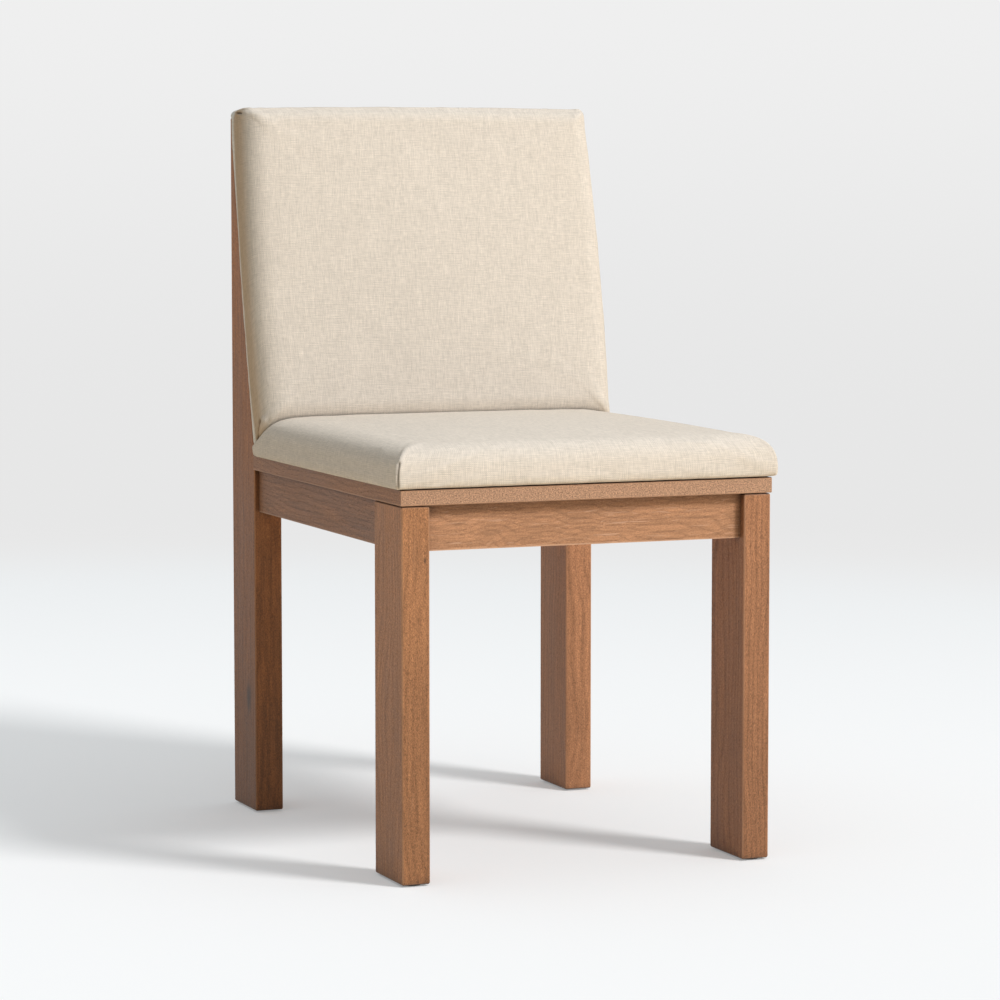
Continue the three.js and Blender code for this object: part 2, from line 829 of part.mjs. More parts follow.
// Outside back: a thin board in its own cover, between the posts
const outsideFrontY = rearFaceY - postTipDepth;
const outsideRearY = outsideFrontY + 2 * fabricThickness + 2 * gap + outsideBoardThickness;
const outsideHalfX = postInnerX - gap;
const outsideBottom = boardTop + gap;
const outsideTop = postTop;

function outsideBox(inset) {
  return boxSolid(
    new THREE.Vector3(-outsideHalfX + inset, outsideFrontY + inset, outsideBottom + inset),
    new THREE.Vector3(outsideHalfX - inset, outsideRearY - inset, outsideTop - inset),
  );
}

function outsideCover() {
  const opening = boxSolid(
    new THREE.Vector3(-outsideHalfX + outsideTurnIn, outsideFrontY - overrun, outsideBottom + outsideTurnIn),
    new THREE.Vector3(outsideHalfX - outsideTurnIn, outsideFrontY + fabricThickness + gap, outsideTop - outsideTurnIn),
  );
  return outsideBox(0).subtract(outsideBox(fabricThickness)).subtract(opening);
}

// The whole chair
for (const side of sides) {
  addPiece(`front_leg_${side.word}`, geometryOf(frontLeg(side)), "oak");
  addPiece(`rear_post_${side.word}`, geometryOf(rearPost(side)), "oak");
  addPiece(`side_rail_${side.word}`, geometryOf(sideRail(side)), "oak");
  for (const place of glidePlaces(side.sign)) {
    addPiece(`foot_glide_${place.name}_${side.word}`, glideGeometry(place), "nylon");
  }
}

const frontRailSolid = crossRail(...frontRail, tenonShoulder, crossTenonLength);
const rearRailSolid = crossRail(...rearRail, tenonShoulder, crossTenonLength);
const lowerRailSolid = crossRail(...lowerRail, tenonShoulder, lowerTenonLength);
addPiece("front_rail", geometryOf(drilled(frontRailSolid, blockScrewsInto("rail", "front", 0))), "oak");
addPiece("rear_rail", geometryOf(drilled(rearRailSolid, blockScrewsInto("rail", "rear", 0))), "oak");
addPiece("seat_board", geometryOf(seatBoard()), "oak");

for (const { place, screws } of allBlockScrews) {
  const word = place.sign < 0 ? "left" : "right";
  addPiece(`corner_block_${place.name}_${word}`, geometryOf(cornerBlock(place)), "innerWood");
  Object.values(screws).forEach(addScrew);
}

addPiece("seat_panel", geometryOf(drilled(seatPlySolid(0), seatScrews)), "plywood");
addPiece("seat_foam", geometryOf(seatFoam()), "foam");
addPiece("seat_cover", geometryOf(seatCover()), "fabric");
seatScrews.forEach(addScrew);

addPiece("back_lower_rail", geometryOf(lowerRailSolid), "innerWood");
addPiece("back_top_rail", geometryOf(topRailSolid(0)), "innerWood");
addPiece("back_panel", geometryOf(backPanel()), "plywood");
addPiece("back_foam", geometryOf(backFoam()), "foam");
addPiece("back_cover", geometryOf(backCover()), "fabric");
panelScrews.forEach(addScrew);
addPiece("outside_back_board", geometryOf(outsideBox(fabricThickness + gap)), "plywood");
addPiece("outside_back_cover", geometryOf(outsideCover()), "fabric");

export default chair;
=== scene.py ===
import math
import bmesh
import bpy
import numpy as np
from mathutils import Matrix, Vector


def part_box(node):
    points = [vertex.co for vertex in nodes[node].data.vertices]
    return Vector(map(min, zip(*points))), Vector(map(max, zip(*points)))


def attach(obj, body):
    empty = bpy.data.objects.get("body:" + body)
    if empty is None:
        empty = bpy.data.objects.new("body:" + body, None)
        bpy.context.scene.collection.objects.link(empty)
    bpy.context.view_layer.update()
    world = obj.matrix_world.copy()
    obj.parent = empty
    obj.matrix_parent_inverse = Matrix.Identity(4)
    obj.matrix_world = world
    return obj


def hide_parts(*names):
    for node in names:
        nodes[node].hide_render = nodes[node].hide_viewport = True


# Dining chair with a wooden frame and a padded seat and back. Metres, +Z up, front towards -Y, left is -X.
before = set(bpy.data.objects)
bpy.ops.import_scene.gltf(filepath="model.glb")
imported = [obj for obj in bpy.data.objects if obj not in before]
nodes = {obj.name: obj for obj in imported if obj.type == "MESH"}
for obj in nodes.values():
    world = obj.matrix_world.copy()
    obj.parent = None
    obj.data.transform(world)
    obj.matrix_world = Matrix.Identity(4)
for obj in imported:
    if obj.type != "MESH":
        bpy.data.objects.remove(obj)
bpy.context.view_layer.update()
scene = bpy.context.scene
MM = 0.001

# The chair's main planes, from the CAD nodes
BOARD_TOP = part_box("seat_board")[1].z
LEG_FRONT_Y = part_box("front_leg_right")[0].y
post_low, post_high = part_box("rear_post_right")
POST_FRONT_Y = post_low.y
POST_TOP = post_high.z
REAR_Y = post_high.y
HALF_WIDTH = post_high.x
POST_TIP = 7 * MM
TIP_Y = REAR_Y - POST_TIP

# The front faces of the posts go back 75 mm over a rise of 360 mm
SLOPE = math.atan2(75, 360)
SIN, COS = math.sin(SLOPE), math.cos(SLOPE)


# Node helpers

OPEN_SKY = 0.9


class Tree:
    """A node tree with short calls for the nodes that the materials share."""

    def __init__(self, tree):
        self.tree = tree
        tree.nodes.clear()

    def put(self, kind, **settings):
        node = self.tree.nodes.new(kind)
        for key, value in settings.items():
            setattr(node, key, value)
        return node

    def feed(self, socket, value):
        """Links a socket to another one, or sets it to a number, a colour or a place."""
        if isinstance(value, bpy.types.NodeSocket):
            self.tree.links.new(value, socket)
        elif socket.type == "RGBA" and not hasattr(value, "__len__"):
            socket.default_value = (value, value, value, 1)
        elif socket.type == "RGBA" and len(value) == 3:
            socket.default_value = (*value, 1)
        else:
            socket.default_value = value

    def fed(self, kind, values, **settings):
        """The result of a node whose first sockets take values."""
        node = self.put(kind, **settings)
        for socket, value in zip(node.inputs, values):
            self.feed(socket, value)
        return node.outputs[0]

    def named(self, kind, values, **settings):
        """A node whose sockets take the values of a dictionary."""
        node = self.put(kind, **settings)
        for name, value in values.items():
            self.feed(node.inputs[name], value)
        return node

    def math(self, operation, first, second=0.0, third=0.0, clamp=False):
        return self.fed("ShaderNodeMath", (first, second, third), operation=operation, use_clamp=clamp)

    def times(self, first, *others):
        for other in others:
            first = self.math("MULTIPLY", first, other)
        return first

    def centred(self, value):
        """A noise less its middle value."""
        return self.math("SUBTRACT", value, 0.5)

    def vary(self, value, amount):
        """1 plus amount times a centred noise."""
        return self.math("MULTIPLY_ADD", self.centred(value), amount, 1.0)

    def ease(self, value, low, high, to_low=0.0, to_high=1.0):
        """A smooth step from to_low at low to to_high at high."""
        numbers = (value, low, high, to_low, to_high)
        return self.fed("ShaderNodeMapRange", numbers, interpolation_type="SMOOTHSTEP")

    def vector(self, x, y, z):
        return self.fed("ShaderNodeCombineXYZ", (x, y, z))

    def split(self, vector):
        node = self.named("ShaderNodeSeparateXYZ", {"Vector": vector})
        return node.outputs

    def vector_math(self, operation, first, second):
        """A number made from two vectors."""
        node = self.put("ShaderNodeVectorMath", operation=operation)
        self.feed(node.inputs[0], first)
        self.feed(node.inputs[1], second)
        return node.outputs["Value"]

    def mix(self, factor, first, second, blend="MIX"):
        """Mixes two colours. A mix node's colour sockets are numbers 6 and 7, and its colour is output 2."""
        node = self.put("ShaderNodeMix", data_type="RGBA", blend_type=blend)
        self.feed(node.inputs["Factor"], factor)
        self.feed(node.inputs[6], first)
        self.feed(node.inputs[7], second)
        return node.outputs[2]

    def shade(self, colour, light):
        """A colour times a number."""
        return self.mix(1.0, colour, self.vector(light, light, light), "MULTIPLY")

    def own_place(self):
        """Where a point is in the piece's own space."""
        return self.put("ShaderNodeTexCoord").outputs["Object"]

    def noise(self, vector, scale, detail=2.0, roughness=0.5):
        values = {"Vector": vector, "Scale": scale, "Detail": detail, "Roughness": roughness}
        return self.named("ShaderNodeTexNoise", values, noise_dimensions="3D").outputs["Fac"]

    def stretched(self, parts, scales):
        """A vector whose three parts are scaled separately."""
        return self.vector(*[self.times(part, scale) for part, scale in zip(parts, scales)])

    def grain(self, parts, scales, detail=1, roughness=0.5):
        """Noise with a scale of its own along each axis."""
        return self.noise(self.stretched(parts, scales), 1.0, detail, roughness)

    def paint_gap_shade(self, colour, reach, closed, least):
        """Painted shade: darkens a colour in joints and narrow gaps, where shade falls, as far as reach, down to
        the share named least.

        closed is the open share of the sky at which it is darkest.
        """
        sky = self.named("ShaderNodeAmbientOcclusion", {"Distance": reach}, samples=6).outputs["AO"]
        return self.shade(colour, self.ease(sky, closed, OPEN_SKY, least, 1.0))

    def bump(self, height, distance, strength):
        values = {"Strength": strength, "Distance": distance, "Height": height}
        return self.named("ShaderNodeBump", values).outputs[0]

    def shader(self, kind, colour):
        return self.named(kind, {"Color": colour}).outputs[0]

    def output(self, surface, kind="ShaderNodeOutputMaterial"):
        self.named(kind, {"Surface": surface})

    def principled(self, colour, roughness, normal, **others):
        values = {"Base Color": colour, "Roughness": roughness, "Normal": normal}
        values.update({name.replace("_", " "): value for name, value in others.items()})
        self.output(self.named("ShaderNodeBsdfPrincipled", values).outputs[0])

    def seen(self):
        """1 for rays from the camera, mirrored ones and those through glass, 0 for the light on other things."""
        path = self.put("ShaderNodeLightPath")
        direct = self.math("MAXIMUM", path.outputs["Is Camera Ray"], path.outputs["Is Glossy Ray"])
        return self.math("MAXIMUM", direct, path.outputs["Is Transmission Ray"])


def new_material(name):
    material = bpy.data.materials.new(name)
    material.use_nodes = True
    return material, Tree(material.node_tree)


# Wood. A bend is how the grain wanders: its scales across and along the board, and its strength. A grain
# is a noise's scales across, into and along the board, its detail and its roughness.

AXES = {"x": (1, 2, 0), "y": (0, 2, 1), "z": (0, 1, 2)}
STRAIGHT = (9, 3.2, 0.032)
CURLED = (13, 8, 0.05)
BESIDE_PITH, OUT_OF_PITH, TRUNK = (0.05, 0.05), (0.09, 0.06), 3
RING_WIDTH, RING_BEND = 0.0055, 1.6
EARLY_BEGINS, EARLY_ENDS = (0.0, 0.15), (0.55, 0.2)
FIBRES = ((260, 260, 8), 3, 0.62)
STREAKS = ((850, 850, 62), 1, 0.5)
FLECKS = ((1250, 1250, 540), 1, 0.5)
CLOUDS = ((32, 32, 5), 2, 0.5)
PORES = ((1600, 1600, 260), 1, 0.5)
MILK = ((420, 420, 15), 2, 0.5)
CUT_FACE = ((600, 600, 840), 1, 0.6)
FIBRE_DEPTH, CLOUD_DEPTH, EARLY_DEPTH, STREAK_DEPTH, FLECK_DEPTH, CUT_DEPTH = 0.85, 0.45, -0.13, 0.3, 1.7, 2.3
PORE_LEVEL, PORE_EDGE, EARLY_PORES = 0.66, (-0.03, 0.08), 0.08
PORE_SHARE, PORE_SPECKLE = 0.15, 0.3
MILK_EDGE, MILK_STREAK = (0.56, 0.74), (0.35, 0.6)
DARKER, PALER, PALER_LIFT = (0.42, 0.35, 0.28), (1.4, 1.6, 1.9), 0.03
WEAR_AND_HIGHLIGHT_EDGE, WEAR_AND_HIGHLIGHT_CLOUD = (0.0021, 0.0005), (0.3, 0.6, 0.35, 0.8)
CUT_FROM, CUT_TO = 0.0016, 0.0008
KNOT_TONE, KNOT_STRETCH, KNOT_OUTSIDE, KNOT_INSIDE, KNOT_DEPTH = (0.03, 0.018, 0.012), 0.4, 1.5, 0.3, 0.8
WOOD_GAP_SHADE = (0.015, 0.3, 0.32)
WOOD_ROUGHNESS, CLOUD_ROUGHNESS, PORE_ROUGHNESS = 0.42, 0.16, 0.2
WOOD_RELIEF, FIBRE_RELIEF, WOOD_SHINE = (0.0002, 0.8), 0.35, 0.35


def wood(name, grain, seed, box, tone, speckle=0.8, limed=0.15, figure=1.0, bend=STRAIGHT,
         painted_light_fade=(1.0, 1.0), knots=(), front_tone=None):
    """Open-pored oak with its grain along one axis. Light wear and a painted highlight follow the edges of the
    box.

    speckle, limed and figure are the strengths of the fine flecks, the pale streaks and the long
    fibres. fade gives the tone's strength at the foot and at the head: painted shade towards the foot and
    painted light towards the head. knots are (place, radius) pairs. front_tone is the colour of a cut front edge.
    """
    material, t = new_material(name)
    place = t.split(t.own_place())
    across, deep, along = (place[index] for index in AXES[grain])

    # Where the board was cut from the trunk: up to 100 mm beside the pith and 30 to 150 mm out from it
    shift = np.random.default_rng(seed).uniform(-1, 1, 3)
    across = t.math("ADD", across, BESIDE_PITH[0] + BESIDE_PITH[1] * shift[0])
    deep = t.math("ADD", deep, OUT_OF_PITH[0] + OUT_OF_PITH[1] * shift[1])
    along = t.math("ADD", along, TRUNK * shift[2])

    # A slow noise bends the growth rings and the fibres along the board
    bend_across, bend_along, bend_strength = bend
    wander = t.grain((across, deep, along), (bend_across, bend_across, bend_along), 2)
    wander = t.times(t.centred(wander), bend_strength)
    bent = (t.math("ADD", across, wander), t.math("SUBTRACT", deep, wander), along)
    radius = t.math("SQRT", t.math("ADD", t.times(across, across), t.times(deep, deep)))
    rings = t.math("DIVIDE", t.math("MULTIPLY_ADD", wander, RING_BEND, radius), RING_WIDTH)
    phase = t.math("FRACT", rings)
    early = t.times(t.ease(phase, *EARLY_BEGINS), t.ease(phase, *EARLY_ENDS))

    # Long fibres, shorter streaks, fine flecks, and open pores that crowd in the early wood
    looks = (FIBRES, STREAKS, FLECKS, CLOUDS, PORES)
    fibre, streak, fleck, cloud, pores = (t.grain(bent, *look) for look in looks)
    level = t.math("SUBTRACT", PORE_LEVEL, t.times(early, EARLY_PORES))
    pore = t.ease(t.math("SUBTRACT", pores, level), *PORE_EDGE)
    low, high = box
    # The last factor is painted shade towards the foot and painted light towards the head, from fade
    light = t.times(
        t.vary(fibre, FIBRE_DEPTH * figure), t.vary(cloud, CLOUD_DEPTH), t.vary(early, EARLY_DEPTH),
        t.times(t.vary(streak, STREAK_DEPTH * figure), t.vary(fleck, FLECK_DEPTH * speckle)),
        t.ease(place[2], low[2], high[2], *painted_light_fade),
    )
    darker = tuple(part * share for part, share in zip(tone, DARKER))
    paler = tuple(min(1.0, part * share + PALER_LIFT) for part, share in zip(tone, PALER))
    colour = t.mix(t.times(pore, PORE_SHARE + PORE_SPECKLE * speckle), t.shade(tone, light), darker)
    milk = t.times(t.ease(t.grain(bent, *MILK), *MILK_EDGE), t.ease(streak, *MILK_STREAK))
    colour = t.mix(t.times(milk, limed), colour, paler)
    if front_tone is not None:
        front = t.shade(front_tone, t.vary(t.grain(place, *CUT_FACE), CUT_DEPTH))
        colour = t.mix(t.ease(place[1], low[1] + CUT_FROM, low[1] + CUT_TO), colour, front)

    # Wear and a painted highlight along the edges: the second smallest distance to the box's planes is the
    # distance to the nearest edge
    gaps = []
    for part, start, end in zip(place, low, high):
        offset = t.math("ABSOLUTE", t.math("SUBTRACT", part, (start + end) / 2))
        gaps.append(t.math("SUBTRACT", (end - start) / 2, offset))
    small = t.math("MINIMUM", gaps[0], gaps[1])
    large = t.math("MAXIMUM", gaps[0], gaps[1])
    edge = t.math("MAXIMUM", small, t.math("MINIMUM", large, gaps[2]))
    wear_and_painted_light = t.times(t.ease(edge, *WEAR_AND_HIGHLIGHT_EDGE), t.ease(cloud, *WEAR_AND_HIGHLIGHT_CLOUD))
    colour = t.mix(wear_and_painted_light, colour, paler)

    for spot, size in knots:
        centre = (spot[0], spot[1], spot[2] * KNOT_STRETCH)
        away = t.vector_math("DISTANCE", t.stretched(place, (1, 1, KNOT_STRETCH)), centre)
        ragged = t.math("MULTIPLY_ADD", t.centred(fibre), size, away)
        dark = t.ease(ragged, size * KNOT_OUTSIDE, size * KNOT_INSIDE)
        colour = t.mix(t.times(dark, KNOT_DEPTH), colour, KNOT_TONE)
    # Painted shade in the joints, recesses and gaps between the parts
    colour = t.paint_gap_shade(colour, *WOOD_GAP_SHADE)

    height = t.math("SUBTRACT", t.times(fibre, FIBRE_RELIEF), pore)
    roughness = t.math("MULTIPLY_ADD", cloud, CLOUD_ROUGHNESS, WOOD_ROUGHNESS)
    roughness = t.math("MULTIPLY_ADD", pore, PORE_ROUGHNESS, roughness)
    t.principled(colour, roughness, t.bump(height, *WOOD_RELIEF), Specular_IOR_Level=WOOD_SHINE)
    return material


def paint(node, material):
    piece = nodes[node]
    if not piece.material_slots:
        piece.data.materials.append(material)
    for slot in piece.material_slots:
        slot.link = "OBJECT"
        slot.material = material


LEFT_LEG_KNOT = ((-0.1915, -0.2855, 0.3517), 0.0013)
LEFT_POST_KNOT = ((-0.218, 0.2343, 0.1362), 0.0075)
OAK = {
    "front_leg_left": dict(
        grain="z", seed=11, tone=(0.328, 0.145, 0.061), speckle=1.1, painted_light_fade=(0.88, 1.1), knots=[LEFT_LEG_KNOT],
    ),
    "front_leg_right": dict(grain="z", seed=12, tone=(0.318, 0.14, 0.064), speckle=1.0, painted_light_fade=(0.82, 1.04)),
    "rear_post_left": dict(
        grain="z", seed=13, tone=(0.25, 0.096, 0.031), speckle=1.0, figure=1.5, painted_light_fade=(0.76, 1.4),
        knots=[LEFT_POST_KNOT],
    ),
    "rear_post_right": dict(grain="z", seed=14, tone=(0.4, 0.182, 0.086), speckle=0.9, painted_light_fade=(0.85, 1.2)),
    "side_rail_left": dict(grain="y", seed=15, tone=(0.24, 0.11, 0.052), speckle=1.1, figure=1.4),
    "side_rail_right": dict(grain="y", seed=16, tone=(0.28, 0.12, 0.05)),
    "front_rail": dict(
        grain="x", seed=17, tone=(0.395, 0.195, 0.098), speckle=0.5, limed=0.7, figure=1.15, bend=CURLED,
    ),
    "rear_rail": dict(grain="x", seed=18, tone=(0.3, 0.13, 0.055)),
    "seat_board": dict(
        grain="y", seed=19, tone=(0.28, 0.125, 0.054), speckle=1.1, front_tone=(0.415, 0.235, 0.14),
    ),
}
INNER_TONE = (0.55, 0.36, 0.2)
for name, look in OAK.items():
    paint(name, wood(f"oak_{name}", box=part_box(name), **look))
for name in nodes:
    if name.startswith("corner_block") or name in ("back_lower_rail", "back_top_rail"):
        axis = "x" if name.startswith("back") else "z"
        paint(name, wood(f"inner_{name}", axis, len(name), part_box(name), INNER_TONE))


PLY_PAIR, PLY_LINES = 0.003, 0.05
BIRCH_GRAIN, BIRCH_FLECKS = ((90, 14, 90), 4, 0.6), ((900, 90, 900), 2)
BIRCH_DEPTH, BIRCH_FLECK_EDGE = 0.5, (0.62, 0.7)
BIRCH_TONE, BIRCH_FLECK = (0.62, 0.44, 0.27), (0.3, 0.18, 0.09)
BIRCH_ROUGHNESS, BIRCH_RELIEF = 0.6, (0.0002, 0.5)


def plywood(name, axis):
    """Birch plywood: plies across one axis, with flat-cut grain on the faces."""
    material, t = new_material(name)
    place = t.split(t.own_place())
    grain = t.grain(place, *BIRCH_GRAIN)
    fleck = t.grain(place, *BIRCH_FLECKS)
    ply = t.math("SINE", t.times(place[axis], 2 * math.pi / PLY_PAIR))
    light = t.math("MULTIPLY_ADD", ply, PLY_LINES, t.vary(grain, BIRCH_DEPTH))
    colour = t.mix(t.ease(fleck, *BIRCH_FLECK_EDGE), t.shade(BIRCH_TONE, light), BIRCH_FLECK)
    t.principled(colour, BIRCH_ROUGHNESS, t.bump(grain, *BIRCH_RELIEF))
    return material


for name in ("seat_panel", "back_panel", "outside_back_board"):
    paint(name, plywood(f"plywood_{name}", 2 if name == "seat_panel" else 1))


# A roughness is its share of the noise and its least value
ZINC_DARK, ZINC_PALE = (0.42, 0.4, 0.36), (0.68, 0.66, 0.6)
ZINC_MOTTLE, ZINC_ROUGHNESS, ZINC_RELIEF = (900.0, 3, 0.6), (0.2, 0.22), (0.00005, 0.4)
NYLON_DARK, NYLON_PALE = (0.05, 0.045, 0.04), (0.11, 0.1, 0.09)
NYLON_SCUFFS, NYLON_ROUGHNESS, NYLON_RELIEF = (500.0, 4, 0.65), (0.3, 0.35), (0.0001, 0.4)


def steel():
    material, t = new_material("zinc_steel")
    mottle = t.noise(t.own_place(), *ZINC_MOTTLE)
    colour = t.mix(mottle, ZINC_DARK, ZINC_PALE)
    rough = t.math("MULTIPLY_ADD", mottle, *ZINC_ROUGHNESS)
    t.principled(colour, rough, t.bump(mottle, *ZINC_RELIEF), Metallic=1.0)
    return material


def nylon():
    material, t = new_material("nylon_glide")
    scuff = t.noise(t.own_place(), *NYLON_SCUFFS)
    colour = t.mix(scuff, NYLON_DARK, NYLON_PALE)
    rough = t.math("MULTIPLY_ADD", scuff, *NYLON_ROUGHNESS)
    t.principled(colour, rough, t.bump(scuff, *NYLON_RELIEF))
    return material


STEEL, NYLON = steel(), nylon()
for name in nodes:
    if "screw" in name:
        paint(name, STEEL)
    if name.startswith("foot_glide"):
        paint(name, NYLON)


# Fabric. A slub's rates are how often it changes across the threads and along them, per metre.

PITCH = 0.0021
SLUBS, LONG_SLUBS = (1.5 / PITCH, 105.0), (1.0 / PITCH, 32.0)
SLUB_SHARE, LONG_SLUB_SHARE = 0.65, 0.35
WARP_SALT, WEFT_SALT, LONG_SALT = 1.3, 9.1, 7
PATCH_RATE, PATCH_LOW, PATCH_HIGH = 75.0, 0.42, 0.58
CLOUD_RATE = 22.0
SLUB_DEPTH, LINE_DEPTH, WEAVE_DEPTH, STAIN_DEPTH = 0.44, 0.06, 0.12, 0.06
# PLEAT_SHADE_TONE is the dark colour of the painted shade inside pleats, PLEAT_SHADE_SHARE its greatest strength
LINEN_TONE, PLEAT_SHADE_TONE, PLEAT_SHADE_SHARE = (0.65, 0.57, 0.48), (0.07, 0.05, 0.035), 0.85
SIDE_SHADE_LOSS = (0.2, 0.31, 0.42)
LINEN_GAP_SHADE = (0.006, 0.05, 0.6)
LINEN_ROUGHNESS, LINEN_RELIEF, WEAVE_RELIEF = 0.95, (0.00035, 0.7), 0.35
SHEEN_TINT = (1.0, 0.86, 0.66, 1.0)


def fabric(name):
    """Heavy linen: plain weave with slubs along both threads. It reads the piece's own map, in metres of cloth.

    The attribute "worn" is the share of painted shade on the cloth. Below zero it is painted paler, as painted
    light. The attribute "slit" is 1 inside a pleat, where hardly any light comes in, and paints shade there.
    """
    material, t = new_material(name)
    cloth = t.put("ShaderNodeUVMap", uv_map="cloth").outputs[0]
    along_u, along_v, _ = t.split(cloth)

    def slub(first, second, rates, salt):
        return t.noise(t.vector(t.times(first, rates[0]), t.times(second, rates[1]), salt), 1.0, 1)

    def thread(first, second, salt):
        """Thick and thin places of one set of threads, which run along second."""
        long_slub = t.times(slub(first, second, LONG_SLUBS, salt + LONG_SALT), LONG_SLUB_SHARE)
        thick = t.math("MULTIPLY_ADD", slub(first, second, SLUBS, salt), SLUB_SHARE, long_slub)
        return t.centred(thick)

    slubs = t.math("ADD", thread(along_u, along_v, WARP_SALT), thread(along_v, along_u, WEFT_SALT))
    wave_u = t.math("SINE", t.times(along_u, 2 * math.pi / PITCH))
    wave_v = t.math("SINE", t.times(along_v, 2 * math.pi / PITCH))
    weave = t.math("MULTIPLY_ADD", t.times(wave_u, wave_v), 0.5, 0.5)

    # In patches one set of threads lies on top, so that its lines show
    patch = t.noise(cloth, PATCH_RATE, 1)
    warp_lines = t.times(wave_u, t.ease(patch, PATCH_LOW, PATCH_HIGH))
    weft_lines = t.times(wave_v, t.ease(patch, PATCH_HIGH, PATCH_LOW))
    lines = t.math("ADD", warp_lines, weft_lines)
    cloud = t.noise(t.own_place(), CLOUD_RATE, 2)
    light = t.times(
        t.math("MULTIPLY_ADD", slubs, SLUB_DEPTH, 1.0), t.math("MULTIPLY_ADD", lines, LINE_DEPTH, 1.0),
        t.math("MULTIPLY_ADD", weave, WEAVE_DEPTH, 1 - WEAVE_DEPTH / 2),
        t.math("MULTIPLY_ADD", cloud, STAIN_DEPTH, 1 - STAIN_DEPTH / 2),
    )
    # Painted shade inside pleats, from the attribute slit
    slit_shade = t.put("ShaderNodeAttribute", attribute_name="slit_shade").outputs["Fac"]
    slit_shade = t.math("MULTIPLY", slit_shade, PLEAT_SHADE_SHARE, clamp=True)
    colour = t.mix(slit_shade, t.shade(LINEN_TONE, light), PLEAT_SHADE_TONE)
    # Painted shade on the back's sides, and a painted pale strip where worn is below zero
    wear_and_painted_light = t.put("ShaderNodeAttribute", attribute_name="wear_and_painted_light").outputs["Fac"]
    kept = [t.math("MULTIPLY_ADD", wear_and_painted_light, -share, 1.0) for share in SIDE_SHADE_LOSS]
    colour = t.mix(1.0, colour, t.vector(*kept), "MULTIPLY")
    # Painted shade in the cloth's contact lines and narrow gaps
    colour = t.paint_gap_shade(colour, *LINEN_GAP_SHADE)
    height = t.math("MULTIPLY_ADD", weave, WEAVE_RELIEF, slubs)
    t.principled(
        colour, LINEN_ROUGHNESS, t.bump(height, *LINEN_RELIEF), Specular_IOR_Level=0.12,
        Sheen_Weight=0.06, Sheen_Roughness=0.45, Sheen_Tint=SHEEN_TINT,
    )
    return material


FABRIC = fabric("linen")


# Pads: a form is drawn over a grid of lines, so that its map follows the cloth

GRID, GRID_FINE, GRID_REACH = 8 * MM, 1.4 * MM, 85 * MM


def spread(length, step, fine, reach):
    """Places from 0 to length, closer together near both ends."""
    places = [0.0]
    while places[-1] < length / 2:
        near = min(1.0, places[-1] / reach)
        places.append(places[-1] + fine + (step - fine) * near)
    places = np.array(places) * (length / 2) / places[-1]
    return np.concatenate([places, (length - places[:-1])[::-1]])


def mapped_mesh(name, points, faces, maps):
    mesh = bpy.data.meshes.new(name)
    mesh.from_pydata(points.tolist(), [], faces)
    layer = mesh.uv_layers.new(name="cloth")
    layer.data.foreach_set("uv", [part for face in maps for spot in face for part in spot])
    mesh.shade_smooth()
    mesh.update()
    return mesh


def places_of(mesh):
    flat = np.empty(3 * len(mesh.vertices))
    mesh.vertices.foreach_get("co", flat)
    return flat.reshape(-1, 3)


def set_places(mesh, places):
    mesh.vertices.foreach_set("co", places.ravel())
    mesh.update()


def normals_of(mesh):
    flat = np.empty(3 * len(mesh.vertices))
    mesh.vertices.foreach_get("normal", flat)
    return flat.reshape(-1, 3)


def arc_lengths(line):
    steps = np.linalg.norm(np.diff(line, axis=0), axis=1)
    return np.concatenate([[0.0], np.cumsum(steps)])


RELAX_KEEP = 0.5


def relax(mesh, values, rounds):
    """Averages values over the mesh's edges, so that only their slow part is left."""
    pairs = np.empty(2 * len(mesh.edges), dtype=int)
    mesh.edges.foreach_get("vertices", pairs)
    first, second = pairs.reshape(-1, 2).T
    count = len(mesh.vertices)
    degree = np.bincount(first, minlength=count) + np.bincount(second, minlength=count)
    for _ in range(rounds):
        total = np.zeros_like(values)
        np.add.at(total, first, values[second])
        np.add.at(total, second, values[first])
        values = RELAX_KEEP * values + (1 - RELAX_KEEP) * total / degree[:, None]
    return values


TINY = 1e-9


def capped(vectors, most):
    """Vectors no longer than most."""
    size = np.linalg.norm(vectors, axis=1, keepdims=True)
    return vectors * np.minimum(1.0, most / np.maximum(size, TINY))


SIM_FRAMES = 18
SLOW_ROUNDS = 60


def puff(pad, rings, pressure, quick_cap, slow_cap):
    """Cloth simulation: air pressure fills the pad while its turned-in rim is held.

    The slow part of the movement and its wrinkles are each limited to a cap.
    """
    mesh = pad.data
    start = places_of(mesh)
    group = pad.vertex_groups.new(name="held")
    group.add(rings[-1] + rings[-2] + rings[-3], 1.0, "REPLACE")
    cloth = pad.modifiers.new("cloth", "CLOTH")
    settings = cloth.settings
    settings.quality = 5
    settings.mass = 0.25
    settings.tension_stiffness = settings.compression_stiffness = 18
    settings.shear_stiffness = 8
    settings.bending_stiffness = 0.4
    settings.shrink_min = settings.shrink_max = -0.002
    settings.use_pressure = True
    settings.uniform_pressure_force = pressure
    settings.vertex_group_mass = group.name
    settings.effector_weights.gravity = 0
    cloth.collision_settings.use_collision = False
    cloth.collision_settings.use_self_collision = False
    cloth.point_cache.frame_start, cloth.point_cache.frame_end = 1, SIM_FRAMES
    for number in range(1, SIM_FRAMES + 1):
        scene.frame_set(number)
    blown = pad.evaluated_get(bpy.context.evaluated_depsgraph_get())
    moved = places_of(blown.to_mesh()) - start
    blown.to_mesh_clear()
    pad.modifiers.clear()
    pad.vertex_groups.clear()
    scene.frame_set(1)
    slow = relax(mesh, moved, SLOW_ROUNDS)
    set_places(mesh, start + capped(moved - slow, quick_cap) + capped(slow, slow_cap))


def subdivide(pad):
    smooth = pad.modifiers.new("smooth", "SUBSURF")
    smooth.levels = smooth.render_levels = 1
    smooth.use_limit_surface = False
    finer = bpy.data.meshes.new_from_object(pad.evaluated_get(bpy.context.evaluated_depsgraph_get()))
    pad.modifiers.clear()
    pad.data = finer
    finer.shade_smooth()


FULL_SLIT_SHADE = 4.5 * MM
LIP_PLACE, LIP_WIDTH = 2.2, 1.1


